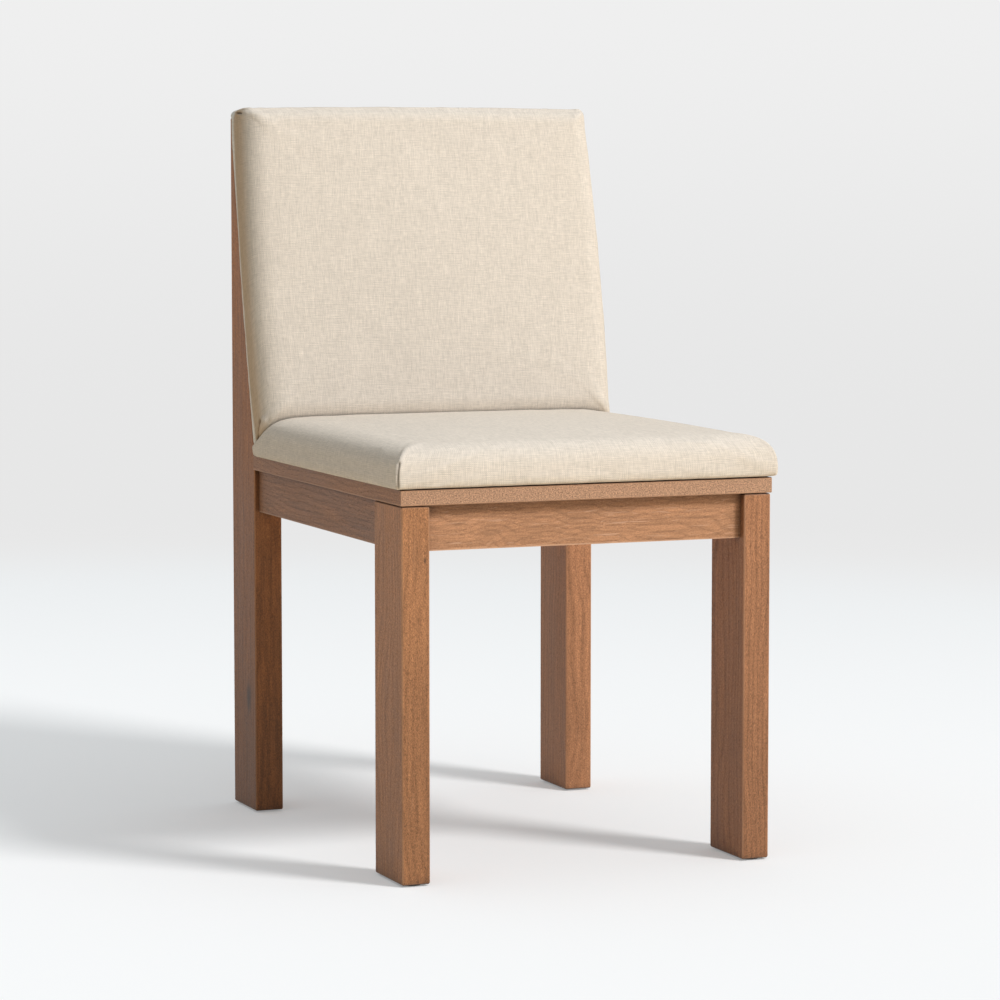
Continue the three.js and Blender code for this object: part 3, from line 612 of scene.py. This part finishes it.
def crease(pad, line, depth, width, lip, lip_side, ends=(0.12, 0.25)):
    """Presses a pleat into a pad along a line of points, and raises a lip on the side that lip_side points to.

    ends are the shares of the line over which the pleat begins and runs out. A negative depth raises a ridge.
    """
    mesh = pad.data
    places, normals = places_of(mesh), normals_of(mesh)
    line = np.array([tuple(point) for point in line])
    for index, point in enumerate(line):
        nearest = np.argmin(np.linalg.norm(places - point, axis=1))
        line[index] = point - normals[nearest] * ((point - places[nearest]) @ normals[nearest])
    along = arc_lengths(line)
    along /= along[-1]
    best = np.full(len(places), np.inf)
    share = np.zeros(len(places))
    offset = np.zeros_like(places)
    for index in range(len(line) - 1):
        start, step = line[index], line[index + 1] - line[index]
        where = np.clip(((places - start) @ step) / (step @ step), 0, 1)
        away = places - (start + where[:, None] * step)
        size = np.linalg.norm(away, axis=1)
        near = size < best
        best[near] = size[near]
        share[near] = along[index] + where[near] * (along[index + 1] - along[index])
        offset[near] = away[near]
    strength = np.clip(share / ends[0], 0, 1) * np.clip((1 - share) / ends[1], 0, 1)
    strength = strength * strength * (3 - 2 * strength)
    hollow = np.exp(-(best / width) ** 2)
    side = offset @ np.array(lip_side)
    ridge = np.exp(-((side - LIP_PLACE * width) / (LIP_WIDTH * width)) ** 2)
    ridge = lip * ridge * np.exp(-(np.abs(best - np.abs(side)) / width) ** 2)
    places += normals * (strength * (np.where(side > 0, ridge, 0) - depth * hollow))[:, None]
    set_places(mesh, places)
    # A pressed pleat stores painted shade for its inside in the attribute slit, full from a depth of
    # FULL_SLIT_SHADE
    if depth > 0:
        inside = strength * hollow * min(1.0, depth / FULL_SLIT_SHADE)
        layer = mesh.attributes.get("slit_shade") or mesh.attributes.new("slit_shade", "FLOAT", "POINT")
        before = np.empty(len(places), dtype=np.float32)
        layer.data.foreach_get("value", before)
        layer.data.foreach_set("value", np.maximum(before, inside).astype(np.float32))


RIM_STEP = 0.02


def close_rim(pad):
    """Closes a pad's open rim, which rests on something hard, with one face inside a narrow ring."""
    mesh = pad.data
    shape = bmesh.new()
    shape.from_mesh(mesh)
    rim = [edge for edge in shape.edges if edge.is_boundary]
    made = bmesh.ops.extrude_edge_only(shape, edges=rim)
    ring = [part for part in made["geom"] if isinstance(part, bmesh.types.BMVert)]
    middle = sum((vert.co for vert in ring), Vector()) / len(ring)
    for vert in ring:
        vert.co = vert.co + (middle - vert.co) * RIM_STEP
    outline = [part for part in made["geom"] if isinstance(part, bmesh.types.BMEdge)]
    bmesh.ops.contextual_create(shape, geom=outline)
    bmesh.ops.recalc_face_normals(shape, faces=shape.faces[:])
    shape.to_mesh(mesh)
    shape.free()
    mesh.update()


def pad_mesh(name, columns, rows, wall, face, rear):
    """A pad that is open at its rim. Gives the pad and the point numbers of its rings, from the face's border on.

    columns and rows are the face's grid lines, wall the number of rings behind its border. face(i, j) and
    rear(ring, i, j) give points. The map follows the arc lengths over the face and down the walls.
    """
    count_i, count_j = len(columns), len(rows)
    border = [(i, 0) for i in range(count_i - 1)]
    border += [(count_i - 1, j) for j in range(count_j - 1)]
    border += [(i, count_j - 1) for i in range(count_i - 1, 0, -1)]
    border += [(0, j) for j in range(count_j - 1, 0, -1)]
    points, index = [], {}
    for j in range(count_j):
        for i in range(count_i):
            index[i, j] = len(points)
            points.append(face(i, j))
    rings = [[index[spot] for spot in border]]
    for number in range(1, wall + 1):
        rings.append(list(range(len(points), len(points) + len(border))))
        points += [rear(number, *spot) for spot in border]
    points = np.array(points)

    u_line = arc_lengths(points[[index[i, count_j // 2] for i in range(count_i)]])
    v_line = arc_lengths(points[[index[count_i // 2, j] for j in range(count_j)]])
    u_line -= u_line[count_i // 2]
    v_line -= v_line[count_j // 2]
    down = np.array([arc_lengths(points[[ring[step] for ring in rings]]) for step in range(len(border))])
    faces, maps = [], []
    for j in range(count_j - 1):
        for i in range(count_i - 1):
            spots = [(i, j), (i + 1, j), (i + 1, j + 1), (i, j + 1)]
            faces.append([index[spot] for spot in spots])
            maps.append([(u_line[a], v_line[b]) for a, b in spots])
    for level in range(wall):
        for step in range(len(border)):
            beside = (step + 1) % len(border)
            corners = ((level + 1, step), (level + 1, beside), (level, beside), (level, step))
            faces.append([rings[ring][place] for ring, place in corners])
            along_row = border[step][1] == border[beside][1]
            quad = []
            for ring, place in corners:
                i, j = border[place]
                drop = down[place, ring]
                if along_row:
                    quad.append((u_line[i], v_line[j] + (drop if j else -drop)))
                else:
                    quad.append((u_line[i] + (drop if i else -drop), v_line[j]))
            maps.append(quad)
    pad = bpy.data.objects.new(name, mapped_mesh(name, points, faces, maps))
    scene.collection.objects.link(pad)
    return pad, rings


ROUND_CORNER = 5


def corner_pull(a, b, sharp):
    """Rounds the mitre where two shoulders meet: both shares move in along the corner's diagonal."""
    largest = max(a, b)
    if min(a, b) <= 0:
        return a, b
    power = ROUND_CORNER + sharp * largest ** 2
    factor = largest / (a ** power + b ** power) ** (1 / power)
    return a * factor, b * factor


# Padded seat. Its form follows the CAD cover, with a turned-under lower edge and squarer front corners.

SEAT_HALF_X = HALF_WIDTH + 7 * MM
SEAT_FRONT_Y = LEG_FRONT_Y - 6 * MM
SEAT_REAR_Y = POST_FRONT_Y - 1.2 * MM
SEAT_MIDDLE_Y = (SEAT_FRONT_Y + SEAT_REAR_Y) / 2
SEAT_HALF_Y = (SEAT_REAR_Y - SEAT_FRONT_Y) / 2
SEAT_BULGE_Z = BOARD_TOP + 10 * MM
SEAT_BOTTOM_Z = BOARD_TOP + 0.3 * MM
SEAT_RISE = 36.3 * MM
SEAT_SIDE, SEAT_FRONT, SEAT_REAR = 40 * MM, 40 * MM, 45 * MM
SEAT_POWER = 2.7
SEAT_CROWN = 8 * MM
SEAT_BOW = 1.5 * MM
SEAT_EDGE = math.radians(48)
SEAT_ROUNDS = 10
SHARP_FRONT, SHARP_REAR = 34, 2

# Shares of the height below the widest ring, and how far the cloth has turned in there
SEAT_BELOW = (0.0, 0.25, 0.47, 0.65, 0.78, 0.87, 0.925, 0.95, 0.958, 0.965, 1.0)
SEAT_TURN = tuple(part * MM for part in (0.0, 0.1, 0.3, 0.6, 1.1, 1.8, 3.0, 5.0, 8.0, 11.0, 12.5))
SIDE_TURN = 0.45
SIDE_LOWER = 0.04

# The lower edge lies lower behind the front, is a little uneven, and hangs at the left front corner
BEHIND_FROM, BEHIND_SPAN = 4 * MM, 22 * MM
WAVE_X, WAVE_START, RIPPLE_X, WAVE_Y = 68, 1, 151, 83
EDGE_WAVE, CORNER_DROP, CORNER_REACH = 0.12 * MM, 0.5 * MM, 9 * MM
WAVE_FROM, WAVE_SPAN = 0.78, 0.22


def seat_pad():
    edge = 1 - math.cos(SEAT_EDGE) ** (2 / SEAT_POWER)
    low_x = SEAT_SIDE * edge
    low_y = SEAT_FRONT_Y + SEAT_FRONT * edge
    high_y = SEAT_REAR_Y - SEAT_REAR * edge
    face_half_x = SEAT_HALF_X - low_x
    columns = spread(2 * face_half_x, GRID, GRID_FINE, GRID_REACH) - face_half_x
    rows = spread(high_y - low_y, GRID, GRID_FINE, GRID_REACH) + low_y

    def surface(x, y, level):
        """A point of the form above (x, y); level is the larger share of the shoulders, 1 at the widest ring."""
        in_front = y < SEAT_MIDDLE_Y
        deep = SEAT_FRONT if in_front else SEAT_REAR
        near_y = y - SEAT_FRONT_Y if in_front else SEAT_REAR_Y - y
        a = max(0.0, 1 - (SEAT_HALF_X - abs(x)) / SEAT_SIDE)
        b = max(0.0, 1 - near_y / deep)
        top = max(a, b) if level is None else level
        a, b = corner_pull(a, b, SHARP_FRONT if in_front else SHARP_REAR)
        if a > 0:
            x = math.copysign(SEAT_HALF_X - SEAT_SIDE * (1 - a), x)
        if b > 0:
            y = SEAT_FRONT_Y + deep * (1 - b) if in_front else SEAT_REAR_Y - deep * (1 - b)
        share_x, share_y = x / SEAT_HALF_X, (y - SEAT_MIDDLE_Y) / SEAT_HALF_Y
        height = SEAT_RISE * (1 - top ** SEAT_POWER) ** (1 / SEAT_POWER)
        crown = SEAT_CROWN * max(0.0, 1 - share_x ** 2) * max(0.0, 1 - share_y ** 2)
        bow = 1 + SEAT_BOW / SEAT_HALF_X * max(0.0, 1 - share_y ** 2)
        return Vector((x * bow, y, SEAT_BULGE_Z + height + crown))

    def face(i, j):
        return surface(columns[i], rows[j], None)

    def rear(ring, i, j):
        angle = SEAT_EDGE * (1 - min(1.0, ring / SEAT_ROUNDS))
        level = math.cos(angle) ** (2 / SEAT_POWER)
        out = level - (1 - edge)
        x = columns[i] * ((face_half_x + SEAT_SIDE * out) / face_half_x)
        span_low = low_y - SEAT_FRONT * out
        span_high = high_y + SEAT_REAR * out
        y = span_low + (rows[j] - low_y) * (span_high - span_low) / (high_y - low_y)
        point = surface(x, y, min(1.0, level))

        step = max(0, ring - SEAT_ROUNDS)
        at_front = min(1.0, max(0.0, 1 - (point.y - SEAT_FRONT_Y - BEHIND_FROM) / BEHIND_SPAN))
        below = min(1.0, SEAT_BELOW[step] * (1 + SIDE_LOWER * (1 - at_front)))
        wave = math.sin(WAVE_X * point.x + WAVE_START) + math.sin(RIPPLE_X * point.x) + math.sin(WAVE_Y * point.y)
        tip = math.hypot(point.x + SEAT_HALF_X, point.y - SEAT_FRONT_Y) / CORNER_REACH
        point.z += (SEAT_BOTTOM_Z - SEAT_BULGE_Z) * below
        low_share = max(0.0, 1 - ((below - WAVE_FROM) / WAVE_SPAN) ** 2)
        point.z += low_share * (EDGE_WAVE * wave - CORNER_DROP * math.exp(-tip * tip))
        point.x -= SIDE_TURN * SEAT_TURN[step] * point.x / SEAT_HALF_X
        point.y -= SEAT_TURN[step] * (point.y - SEAT_MIDDLE_Y) / SEAT_HALF_Y
        return point

    return pad_mesh("seat_pad", columns, rows, SEAT_ROUNDS + len(SEAT_BELOW) - 1, face, rear)


# Padded back, drawn on the sloped faces of the posts: s is up the slope and t out of it

BACK_DEPTH = 70 * MM
BACK_BOTTOM = 9 * MM
BACK_BOTTOM_ROUND = 46 * MM
BACK_TOP_Z = 838.7 * MM
BACK_TOP_FALL = 4 * MM
BACK_TOP_ROUND = 18 * MM
BACK_SIDE_ROUND = 26 * MM
BACK_WIDEST = BACK_DEPTH - BACK_SIDE_ROUND
BACK_HALF_X = HALF_WIDTH + 2.5 * MM
BACK_EDGE = math.radians(45)
BACK_CORNER = 8 * MM
BACK_CROWN = 4.5 * MM
BACK_BOW, BACK_FLARE, BACK_TOP_BOW = 4.5 * MM, 3 * MM, 2 * MM
BACK_RINGS = 28
BACK_BASE = 0.3 * MM
POST_GAP = 0.3 * MM
SIDE_TUCK, RIM_TUCK, RIM_REACH = 2.5 * MM, 0.4 * MM, 6 * MM
CHANNEL_DEPTH, CHANNEL_PLACE, CHANNEL_WIDTH = 0.9 * MM, 18 * MM, 8 * MM
SOFTNESS = 4


def on_back(x, s, t):
    return Vector((x, POST_FRONT_Y + s * SIN - t * COS, BOARD_TOP + s * COS + t * SIN))


def round_drop(radius, share):
    """How far a quarter round has dropped at a share of its run."""
    return radius * (1 - math.sqrt(max(0.0, 1 - share * share)))


def share_of(value):
    return min(1.0, max(0.0, value))


def back_bottom(t):
    return BACK_BOTTOM + round_drop(BACK_BOTTOM_ROUND, share_of(t / BACK_DEPTH))


def back_top(t):
    share = share_of((t - BACK_DEPTH + BACK_TOP_ROUND) / BACK_TOP_ROUND)
    height = BACK_TOP_Z - BACK_TOP_FALL * (1 - t / BACK_DEPTH) ** 2 - round_drop(BACK_TOP_ROUND, share)
    return (height - BOARD_TOP - t * SIN) / COS


def back_half(t):
    """Half width of the ring at t, without the bow and the flare."""
    if t <= BACK_WIDEST:
        tucked = max(0.0, 1 - t / RIM_REACH) ** 2
        channel = math.exp(-((t - CHANNEL_PLACE) / CHANNEL_WIDTH) ** 2)
        narrow = BACK_HALF_X - SIDE_TUCK * (1 - t / BACK_WIDEST) ** 2
        return narrow - RIM_TUCK * tucked - CHANNEL_DEPTH * channel
    return BACK_HALF_X - round_drop(BACK_SIDE_ROUND, min(1.0, (t - BACK_WIDEST) / BACK_SIDE_ROUND))


def back_point(x, s, t):
    """The point with the pad's bow and flare, kept clear of the posts."""
    fullness = 1 - (1 - min(1.0, t / BACK_WIDEST)) ** 2
    low, high = back_bottom(t), back_top(t)
    share_s = min(1.0, max(-1.0, (2 * s - low - high) / (high - low)))
    share_x = x / BACK_HALF_X
    x *= 1 + BACK_BOW / BACK_HALF_X * fullness * (1 - share_s ** 2)
    x *= 1 + BACK_FLARE / BACK_HALF_X * fullness * (1 - share_s) / 2
    s += BACK_TOP_BOW * fullness * max(0.0, 1 - share_x ** 2) * share_s ** 5
    point = on_back(x, s, t)
    limit = TIP_Y - POST_GAP if point.z < POST_TOP + POST_GAP else REAR_Y - POST_GAP
    point.y = min(point.y, limit)
    return point


def back_pad():
    edge_depth = BACK_DEPTH - BACK_SIDE_ROUND * (1 - math.sin(BACK_EDGE))
    half_x = back_half(edge_depth)
    low_s, high_s = back_bottom(edge_depth), back_top(edge_depth)
    columns = spread(2 * half_x, GRID, GRID_FINE, GRID_REACH) - half_x
    rows = spread(high_s - low_s, GRID, GRID_FINE, GRID_REACH) + low_s
    face_low, face_high = back_bottom(BACK_DEPTH), back_top(BACK_DEPTH)
    middle_s = (face_low + face_high) / 2

    def depth_over(x, s):
        """How far the face stands out at (x, s): the softened least of its side, bottom and top rounds."""
        drops = (
            round_drop(BACK_SIDE_ROUND, max(0.0, 1 - (BACK_HALF_X - abs(x)) / BACK_SIDE_ROUND)),
            round_drop(BACK_DEPTH, share_of(1 - (s - BACK_BOTTOM) / BACK_BOTTOM_ROUND)),
            round_drop(BACK_TOP_ROUND, share_of((s - face_high) / (BACK_TOP_ROUND / COS))),
        )
        return BACK_DEPTH - sum(drop ** SOFTNESS for drop in drops) ** (1 / SOFTNESS)

    def face(i, j):
        x, s = columns[i], rows[j]
        crown_x = max(0.0, 1 - (x / half_x) ** 2) ** 2
        crown_s = max(0.0, 1 - ((s - middle_s) / (high_s - middle_s)) ** 2) ** 2
        point = back_point(x, s, depth_over(x, s))
        return point + (on_back(0, 0, BACK_CROWN * crown_x * crown_s) - on_back(0, 0, 0))

    def rear(ring, i, j):
        start = depth_over(columns[i], rows[j])
        t = start + (BACK_BASE - start) * (ring / BACK_RINGS)
        low, high = back_bottom(t), back_top(t)
        half = back_half(t)
        x = columns[i] * half / half_x
        s = low + (rows[j] - low_s) * (high - low) / (high_s - low_s)
        a = max(0.0, 1 - (half - abs(x)) / BACK_CORNER)
        b = max(0.0, 1 - min(s - low, high - s) / BACK_CORNER)
        if a > 0 and b > 0:
            factor = max(a, b) / math.hypot(a, b)
            x = math.copysign(half - BACK_CORNER * (1 - a * factor), x)
            shift = BACK_CORNER * b * (1 - factor)
            s += shift if s - low < high - s else -shift
        return back_point(x, s, t)

    return pad_mesh("back_pad", columns, rows, BACK_RINGS, face, rear)


# Painted shade and light on the back's sides, by the distance out of the posts: a painted pale strip at the
# tacked edge, painted shade darkest in the middle of the side
SIDE_SHADE_PLACES = np.array([-20, 1, 4, 12, 16, 21, 33, 46, 58]) * MM
SIDE_SHADE = (0.4, 0.4, -0.8, -0.8, -0.3, 1.1, 1.15, 0.9, 0.0)
SIDE_SHADE_FROM, SIDE_SHADE_RAMP, SIDE_SHADE_ON_RIGHT = 9 * MM, 6 * MM, 0.25


def paint_side_shade(pad):
    """Paints shade, and a pale strip of painted light, on the back's sides, most on the left."""
    places = places_of(pad.data)
    out = (places[:, 2] - BOARD_TOP) * SIN - (places[:, 1] - POST_FRONT_Y) * COS
    side = np.clip((np.abs(places[:, 0]) - BACK_HALF_X + SIDE_SHADE_FROM) / SIDE_SHADE_RAMP, 0, 1)
    wear_and_painted_light = side * np.interp(out, SIDE_SHADE_PLACES, SIDE_SHADE) * np.where(places[:, 0] > 0, SIDE_SHADE_ON_RIGHT, 1.0)
    pad.data.attributes.new("wear_and_painted_light", "FLOAT", "POINT").data.foreach_set("value", wear_and_painted_light.astype(np.float32))


PRESS_GAP, PRESS_REACH, PRESS_ROUND = 0.4 * MM, 12 * MM, 6 * MM
FREE = 1.0  # a height above everything


def press_under(pad):
    """The seat gives way under the padded back, which rests on its rear edge."""
    depths = [depth * MM for depth in range(-4, 67)]
    line = [on_back(0, back_bottom(t), t) for t in depths]
    along, heights = zip(*sorted((point.y, point.z) for point in line))
    places = places_of(pad.data)
    before = np.array(places[:, 1])
    ceiling = np.interp(before, along, heights) - PRESS_GAP
    near = np.clip((before - (along[0] - PRESS_REACH)) / PRESS_REACH, 0, 1)
    rounded = heights[0] + PRESS_ROUND * (1 - near) ** 2
    ceiling = np.where(before < along[0], np.where(near > 0, rounded, FREE), ceiling)
    places[:, 2] = np.minimum(places[:, 2], np.maximum(ceiling, SEAT_BOTTOM_Z))
    set_places(pad.data, places)


def side_line(side, spots):
    """A line on the side of the back through spots, which are (s, t) pairs in millimetres."""
    return [back_point(side * back_half(t * MM), s * MM, t * MM) for s, t in spots]


def finish_pad(pad, replaced, fill):
    pad.data.materials.append(FABRIC)
    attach(pad, "root")
    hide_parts(*replaced)


PRESSURE = 3.0
SEAT_WRINKLES, BACK_WRINKLES, PAD_FILL = 0.5 * MM, 0.4 * MM, 0.6 * MM
LEFT, RIGHT = -1, 1
UP, DOWN, BACKWARDS = (0, 0, 1), (0, 0, -1), (0, 1, 0)
LOW_PLEAT = ((9, 15), (14, 23), (20, 31), (28, 39), (35, 45), (39, 47))
PLEAT_HEAD = ((29, 58), (35, 54), (41, 52))
TOP_PLEAT = ((407, 26), (406, 34), (404, 43), (401, 52))

seat, seat_rings = seat_pad()
back, back_rings = back_pad()
puff(seat, seat_rings, PRESSURE, SEAT_WRINKLES, PAD_FILL)
puff(back, back_rings, PRESSURE, BACK_WRINKLES, PAD_FILL)

# The seat's pleat follows the first point of its rings, at the left front corner
corner = [places_of(seat.data)[ring[0]] for ring in seat_rings[4:-3]]
subdivide(seat)
subdivide(back)

# Line, depth, width, lip, the lip's side, and the shares over which the pleat begins and runs out
crease(seat, corner, 5.0 * MM, 1.4 * MM, 1.0 * MM, BACKWARDS, (0.12, 0.1))
crease(back, side_line(LEFT, LOW_PLEAT), 4.5 * MM, 2.1 * MM, 1.0 * MM, UP, (0.05, 0.12))
crease(back, side_line(LEFT, PLEAT_HEAD), -1.4 * MM, 4 * MM, 0.0, UP, (0.3, 0.3))
crease(back, side_line(LEFT, TOP_PLEAT), 3.0 * MM, 1.0 * MM, 0.9 * MM, DOWN)
crease(back, side_line(RIGHT, LOW_PLEAT), 2.0 * MM, 1.0 * MM, 0.3 * MM, UP)
crease(back, side_line(RIGHT, TOP_PLEAT), 2.0 * MM, 1.0 * MM, 0.5 * MM, DOWN)
paint_side_shade(back)
press_under(seat)
PAD_SHARE, PANEL_SHARE = 0.9, 1.0
for pad, replaced in ((seat, ("seat_cover", "seat_foam")), (back, ("back_cover", "back_foam"))):
    close_rim(pad)
    finish_pad(pad, replaced, PAD_SHARE)


# Outside back: a thin upholstered panel between the posts

PANEL_GRID, PANEL_FINE, PANEL_REACH = 9 * MM, 1.5 * MM, 60 * MM
PANEL_ROUND, PANEL_CLEAR, PANEL_RINGS = 1.6 * MM, 0.2 * MM, 4
FACE_INSET, RIM_INSET = PANEL_ROUND * 0.4, PANEL_ROUND * 0.1


def outside_back():
    low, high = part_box("outside_back_cover")
    columns = spread(high.x - low.x, PANEL_GRID, PANEL_FINE, PANEL_REACH) + low.x
    rows = spread(high.z - low.z, PANEL_GRID, PANEL_FINE, PANEL_REACH) + low.z
    deep = high.y - low.y

    def inside(i, j, inset):
        x = min(max(columns[i], low.x + inset), high.x - inset)
        z = min(max(rows[j], low.z + inset), high.z - inset)
        return x, z

    def face(i, j):
        x, z = inside(i, j, FACE_INSET)
        near = min(x - low.x, high.x - x, z - low.z, high.z - z)
        sink = PANEL_ROUND * (1 - min(1.0, near / (2 * PANEL_ROUND))) ** 2
        return Vector((x, high.y - sink - PANEL_CLEAR, z))

    def rear(ring, i, j):
        x, z = inside(i, j, 0.0 if ring > 1 else RIM_INSET)
        return Vector((x, high.y - PANEL_ROUND - (deep - PANEL_ROUND) * (ring - 1) / (PANEL_RINGS - 1), z))

    panel = pad_mesh("outside_back_panel", columns, rows, PANEL_RINGS, face, rear)[0]
    close_rim(panel)
    return panel


finish_pad(outside_back(), ("outside_back_cover",), PANEL_SHARE)


# Stage: floor and sweep. Camera and glossy rays see the photograph's pale backdrop, and shadows on the floor.

CAMERA_AT = Vector((-1.613204, -3.991707, 0.787685))
CAMERA_TURN, CAMERA_DOWN = math.radians(-22.142), 5.335
CAMERA_LENS, CAMERA_SENSOR = 134.76, 36
KEY_AT = Vector((2.8, -3.8, 4.3))
KEY_AIM = Vector((0, 0, 0.4))
KEY_AXIS = (KEY_AIM - KEY_AT).normalized()
KEY_SIZE = 1.45
KEY_POWER = 314.0
KEY_TINT = (0.98, 1.0, 1.03)
CEILING = (0.80, 0.86, 0.91)
AMBIENT = 0.53
FLOOR_BOUNCE = (0.95, 0.82, 0.635)
FLOOR_SEEN = 0.936
FLOOR_LIFT = 0.25
FLOOR_TINT = (1.015, 0.995, 0.965)
WALL_FOOT, WALL_HEAD, WALL_RISE = 0.80, 0.865, 1.3
FADE_NEAR, FADE_FAR = 4.2, 8.1
SHADOW_CENTRE, SHADOW_NEAR, SHADOW_FAR = (-0.3, 0.4, 0), 2.1, 3.1
SKY_SEEN = (0.83, 0.83, 0.83)

view_dir = Vector((-math.sin(CAMERA_TURN), math.cos(CAMERA_TURN), 0))
side_dir = Vector((view_dir.y, -view_dir.x, 0))
STAGE_NEAR, STAGE_SIDE = -4.0, 7.0
SWEEP_START, SWEEP_RADIUS, SWEEP_STEPS, WALL_TOP = 9.7, 1.6, 16, 4.0


def stage_mesh():
    profile = [(STAGE_NEAR, 0.0), (SWEEP_START, 0.0)]
    for step in range(1, SWEEP_STEPS + 1):
        angle = math.pi / 2 * step / SWEEP_STEPS
        profile.append((SWEEP_START + SWEEP_RADIUS * math.sin(angle), SWEEP_RADIUS * (1 - math.cos(angle))))
    profile.append((SWEEP_START + SWEEP_RADIUS, WALL_TOP))
    start = Vector((CAMERA_AT.x, CAMERA_AT.y, 0))
    points, faces = [], []
    for away, height in profile:
        for side in (-STAGE_SIDE, STAGE_SIDE):
            points.append(start + view_dir * away + side_dir * side + Vector((0, 0, height)))
    for step in range(len(profile) - 1):
        faces.append((2 * step, 2 * step + 1, 2 * step + 3, 2 * step + 2))
    mesh = bpy.data.meshes.new("stage")
    mesh.from_pydata([tuple(point) for point in points], [], faces)
    mesh.update()
    stage = bpy.data.objects.new("stage", mesh)
    scene.collection.objects.link(stage)
    return stage


def stage_material():
    material, t = new_material("stage")
    geometry = t.put("ShaderNodeNewGeometry")
    place = geometry.outputs["Position"]
    height = t.split(place)[2]

    # Light that reaches the open floor: the key lamp's share falls off with distance, the ambient share doesn't
    away = t.vector_math("DISTANCE", place, KEY_AT)
    facing = t.math("SUBTRACT", t.vector_math("DOT_PRODUCT", place, KEY_AXIS), KEY_AXIS.dot(KEY_AT))
    key = t.times(facing, KEY_POWER * KEY_AT.z / math.pi ** 2)
    open_light = t.math("ADD", t.math("DIVIDE", key, t.math("POWER", away, 4.0)), AMBIENT)

    # The plain backdrop's brightness, from its distance along the floor and its height
    distance = t.math("SUBTRACT", t.vector_math("DOT_PRODUCT", place, view_dir), view_dir.dot(CAMERA_AT))
    floor_tone = t.ease(distance, FADE_NEAR, FADE_FAR, FLOOR_SEEN, WALL_FOOT)
    tone = t.math("MAXIMUM", t.ease(height, 0.0, WALL_RISE, WALL_FOOT, WALL_HEAD), floor_tone)
    albedo = t.math("DIVIDE", t.math("SUBTRACT", floor_tone, FLOOR_LIFT), open_light)
    shaded = t.shader("ShaderNodeBsdfDiffuse", t.stretched((albedo, albedo, albedo), FLOOR_TINT))
    lit = t.fed("ShaderNodeAddShader", (shaded, t.shader("ShaderNodeEmission", FLOOR_LIFT)))
    glow = t.shader("ShaderNodeEmission", t.vector(tone, tone, tone))
    far = t.ease(t.vector_math("DISTANCE", place, SHADOW_CENTRE), SHADOW_NEAR, SHADOW_FAR)
    shown = t.fed("ShaderNodeMixShader", (far, lit, glow))

    # What lights the chair: a pale floor, and no wall
    bounce = t.shader("ShaderNodeBsdfDiffuse", FLOOR_BOUNCE)
    clear = t.put("ShaderNodeBsdfTransparent").outputs[0]
    unseen = t.fed("ShaderNodeMixShader", (t.math("GREATER_THAN", height, 0.001), bounce, clear))
    front = t.fed("ShaderNodeMixShader", (t.seen(), unseen, shown))
    t.output(t.fed("ShaderNodeMixShader", (geometry.outputs["Backfacing"], front, clear)))
    return material


stage = stage_mesh()
stage.data.materials.append(stage_material())


# Light

def world_light():
    world = bpy.data.worlds.new("studio")
    scene.world = world
    world.use_nodes = True
    t = Tree(world.node_tree)
    direction = t.put("ShaderNodeTexCoord").outputs["Generated"]
    up = t.math("MAXIMUM", t.split(direction)[2], 0.0)
    colour = t.mix(t.seen(), t.shade(CEILING, up), SKY_SEEN)
    t.output(t.shader("ShaderNodeBackground", colour), "ShaderNodeOutputWorld")


world_light()
lamp = bpy.data.lights.new("key", "AREA")
lamp.shape = "DISK"
lamp.size = KEY_SIZE
lamp.energy = KEY_POWER
lamp.color = KEY_TINT
key = bpy.data.objects.new("key", lamp)
key.location = KEY_AT
key.rotation_mode = "QUATERNION"
key.rotation_quaternion = KEY_AXIS.to_track_quat("-Z", "Y")
scene.collection.objects.link(key)

# Camera, solved from the photograph's straight edges
camera_data = bpy.data.cameras.new("camera")
camera_data.lens = CAMERA_LENS
camera_data.sensor_width = CAMERA_SENSOR
camera = bpy.data.objects.new("camera", camera_data)
camera.location = CAMERA_AT
camera.rotation_euler = (math.radians(90 - CAMERA_DOWN), 0, CAMERA_TURN)
scene.collection.objects.link(camera)
scene.camera = camera
scene.view_settings.view_transform = "Standard"
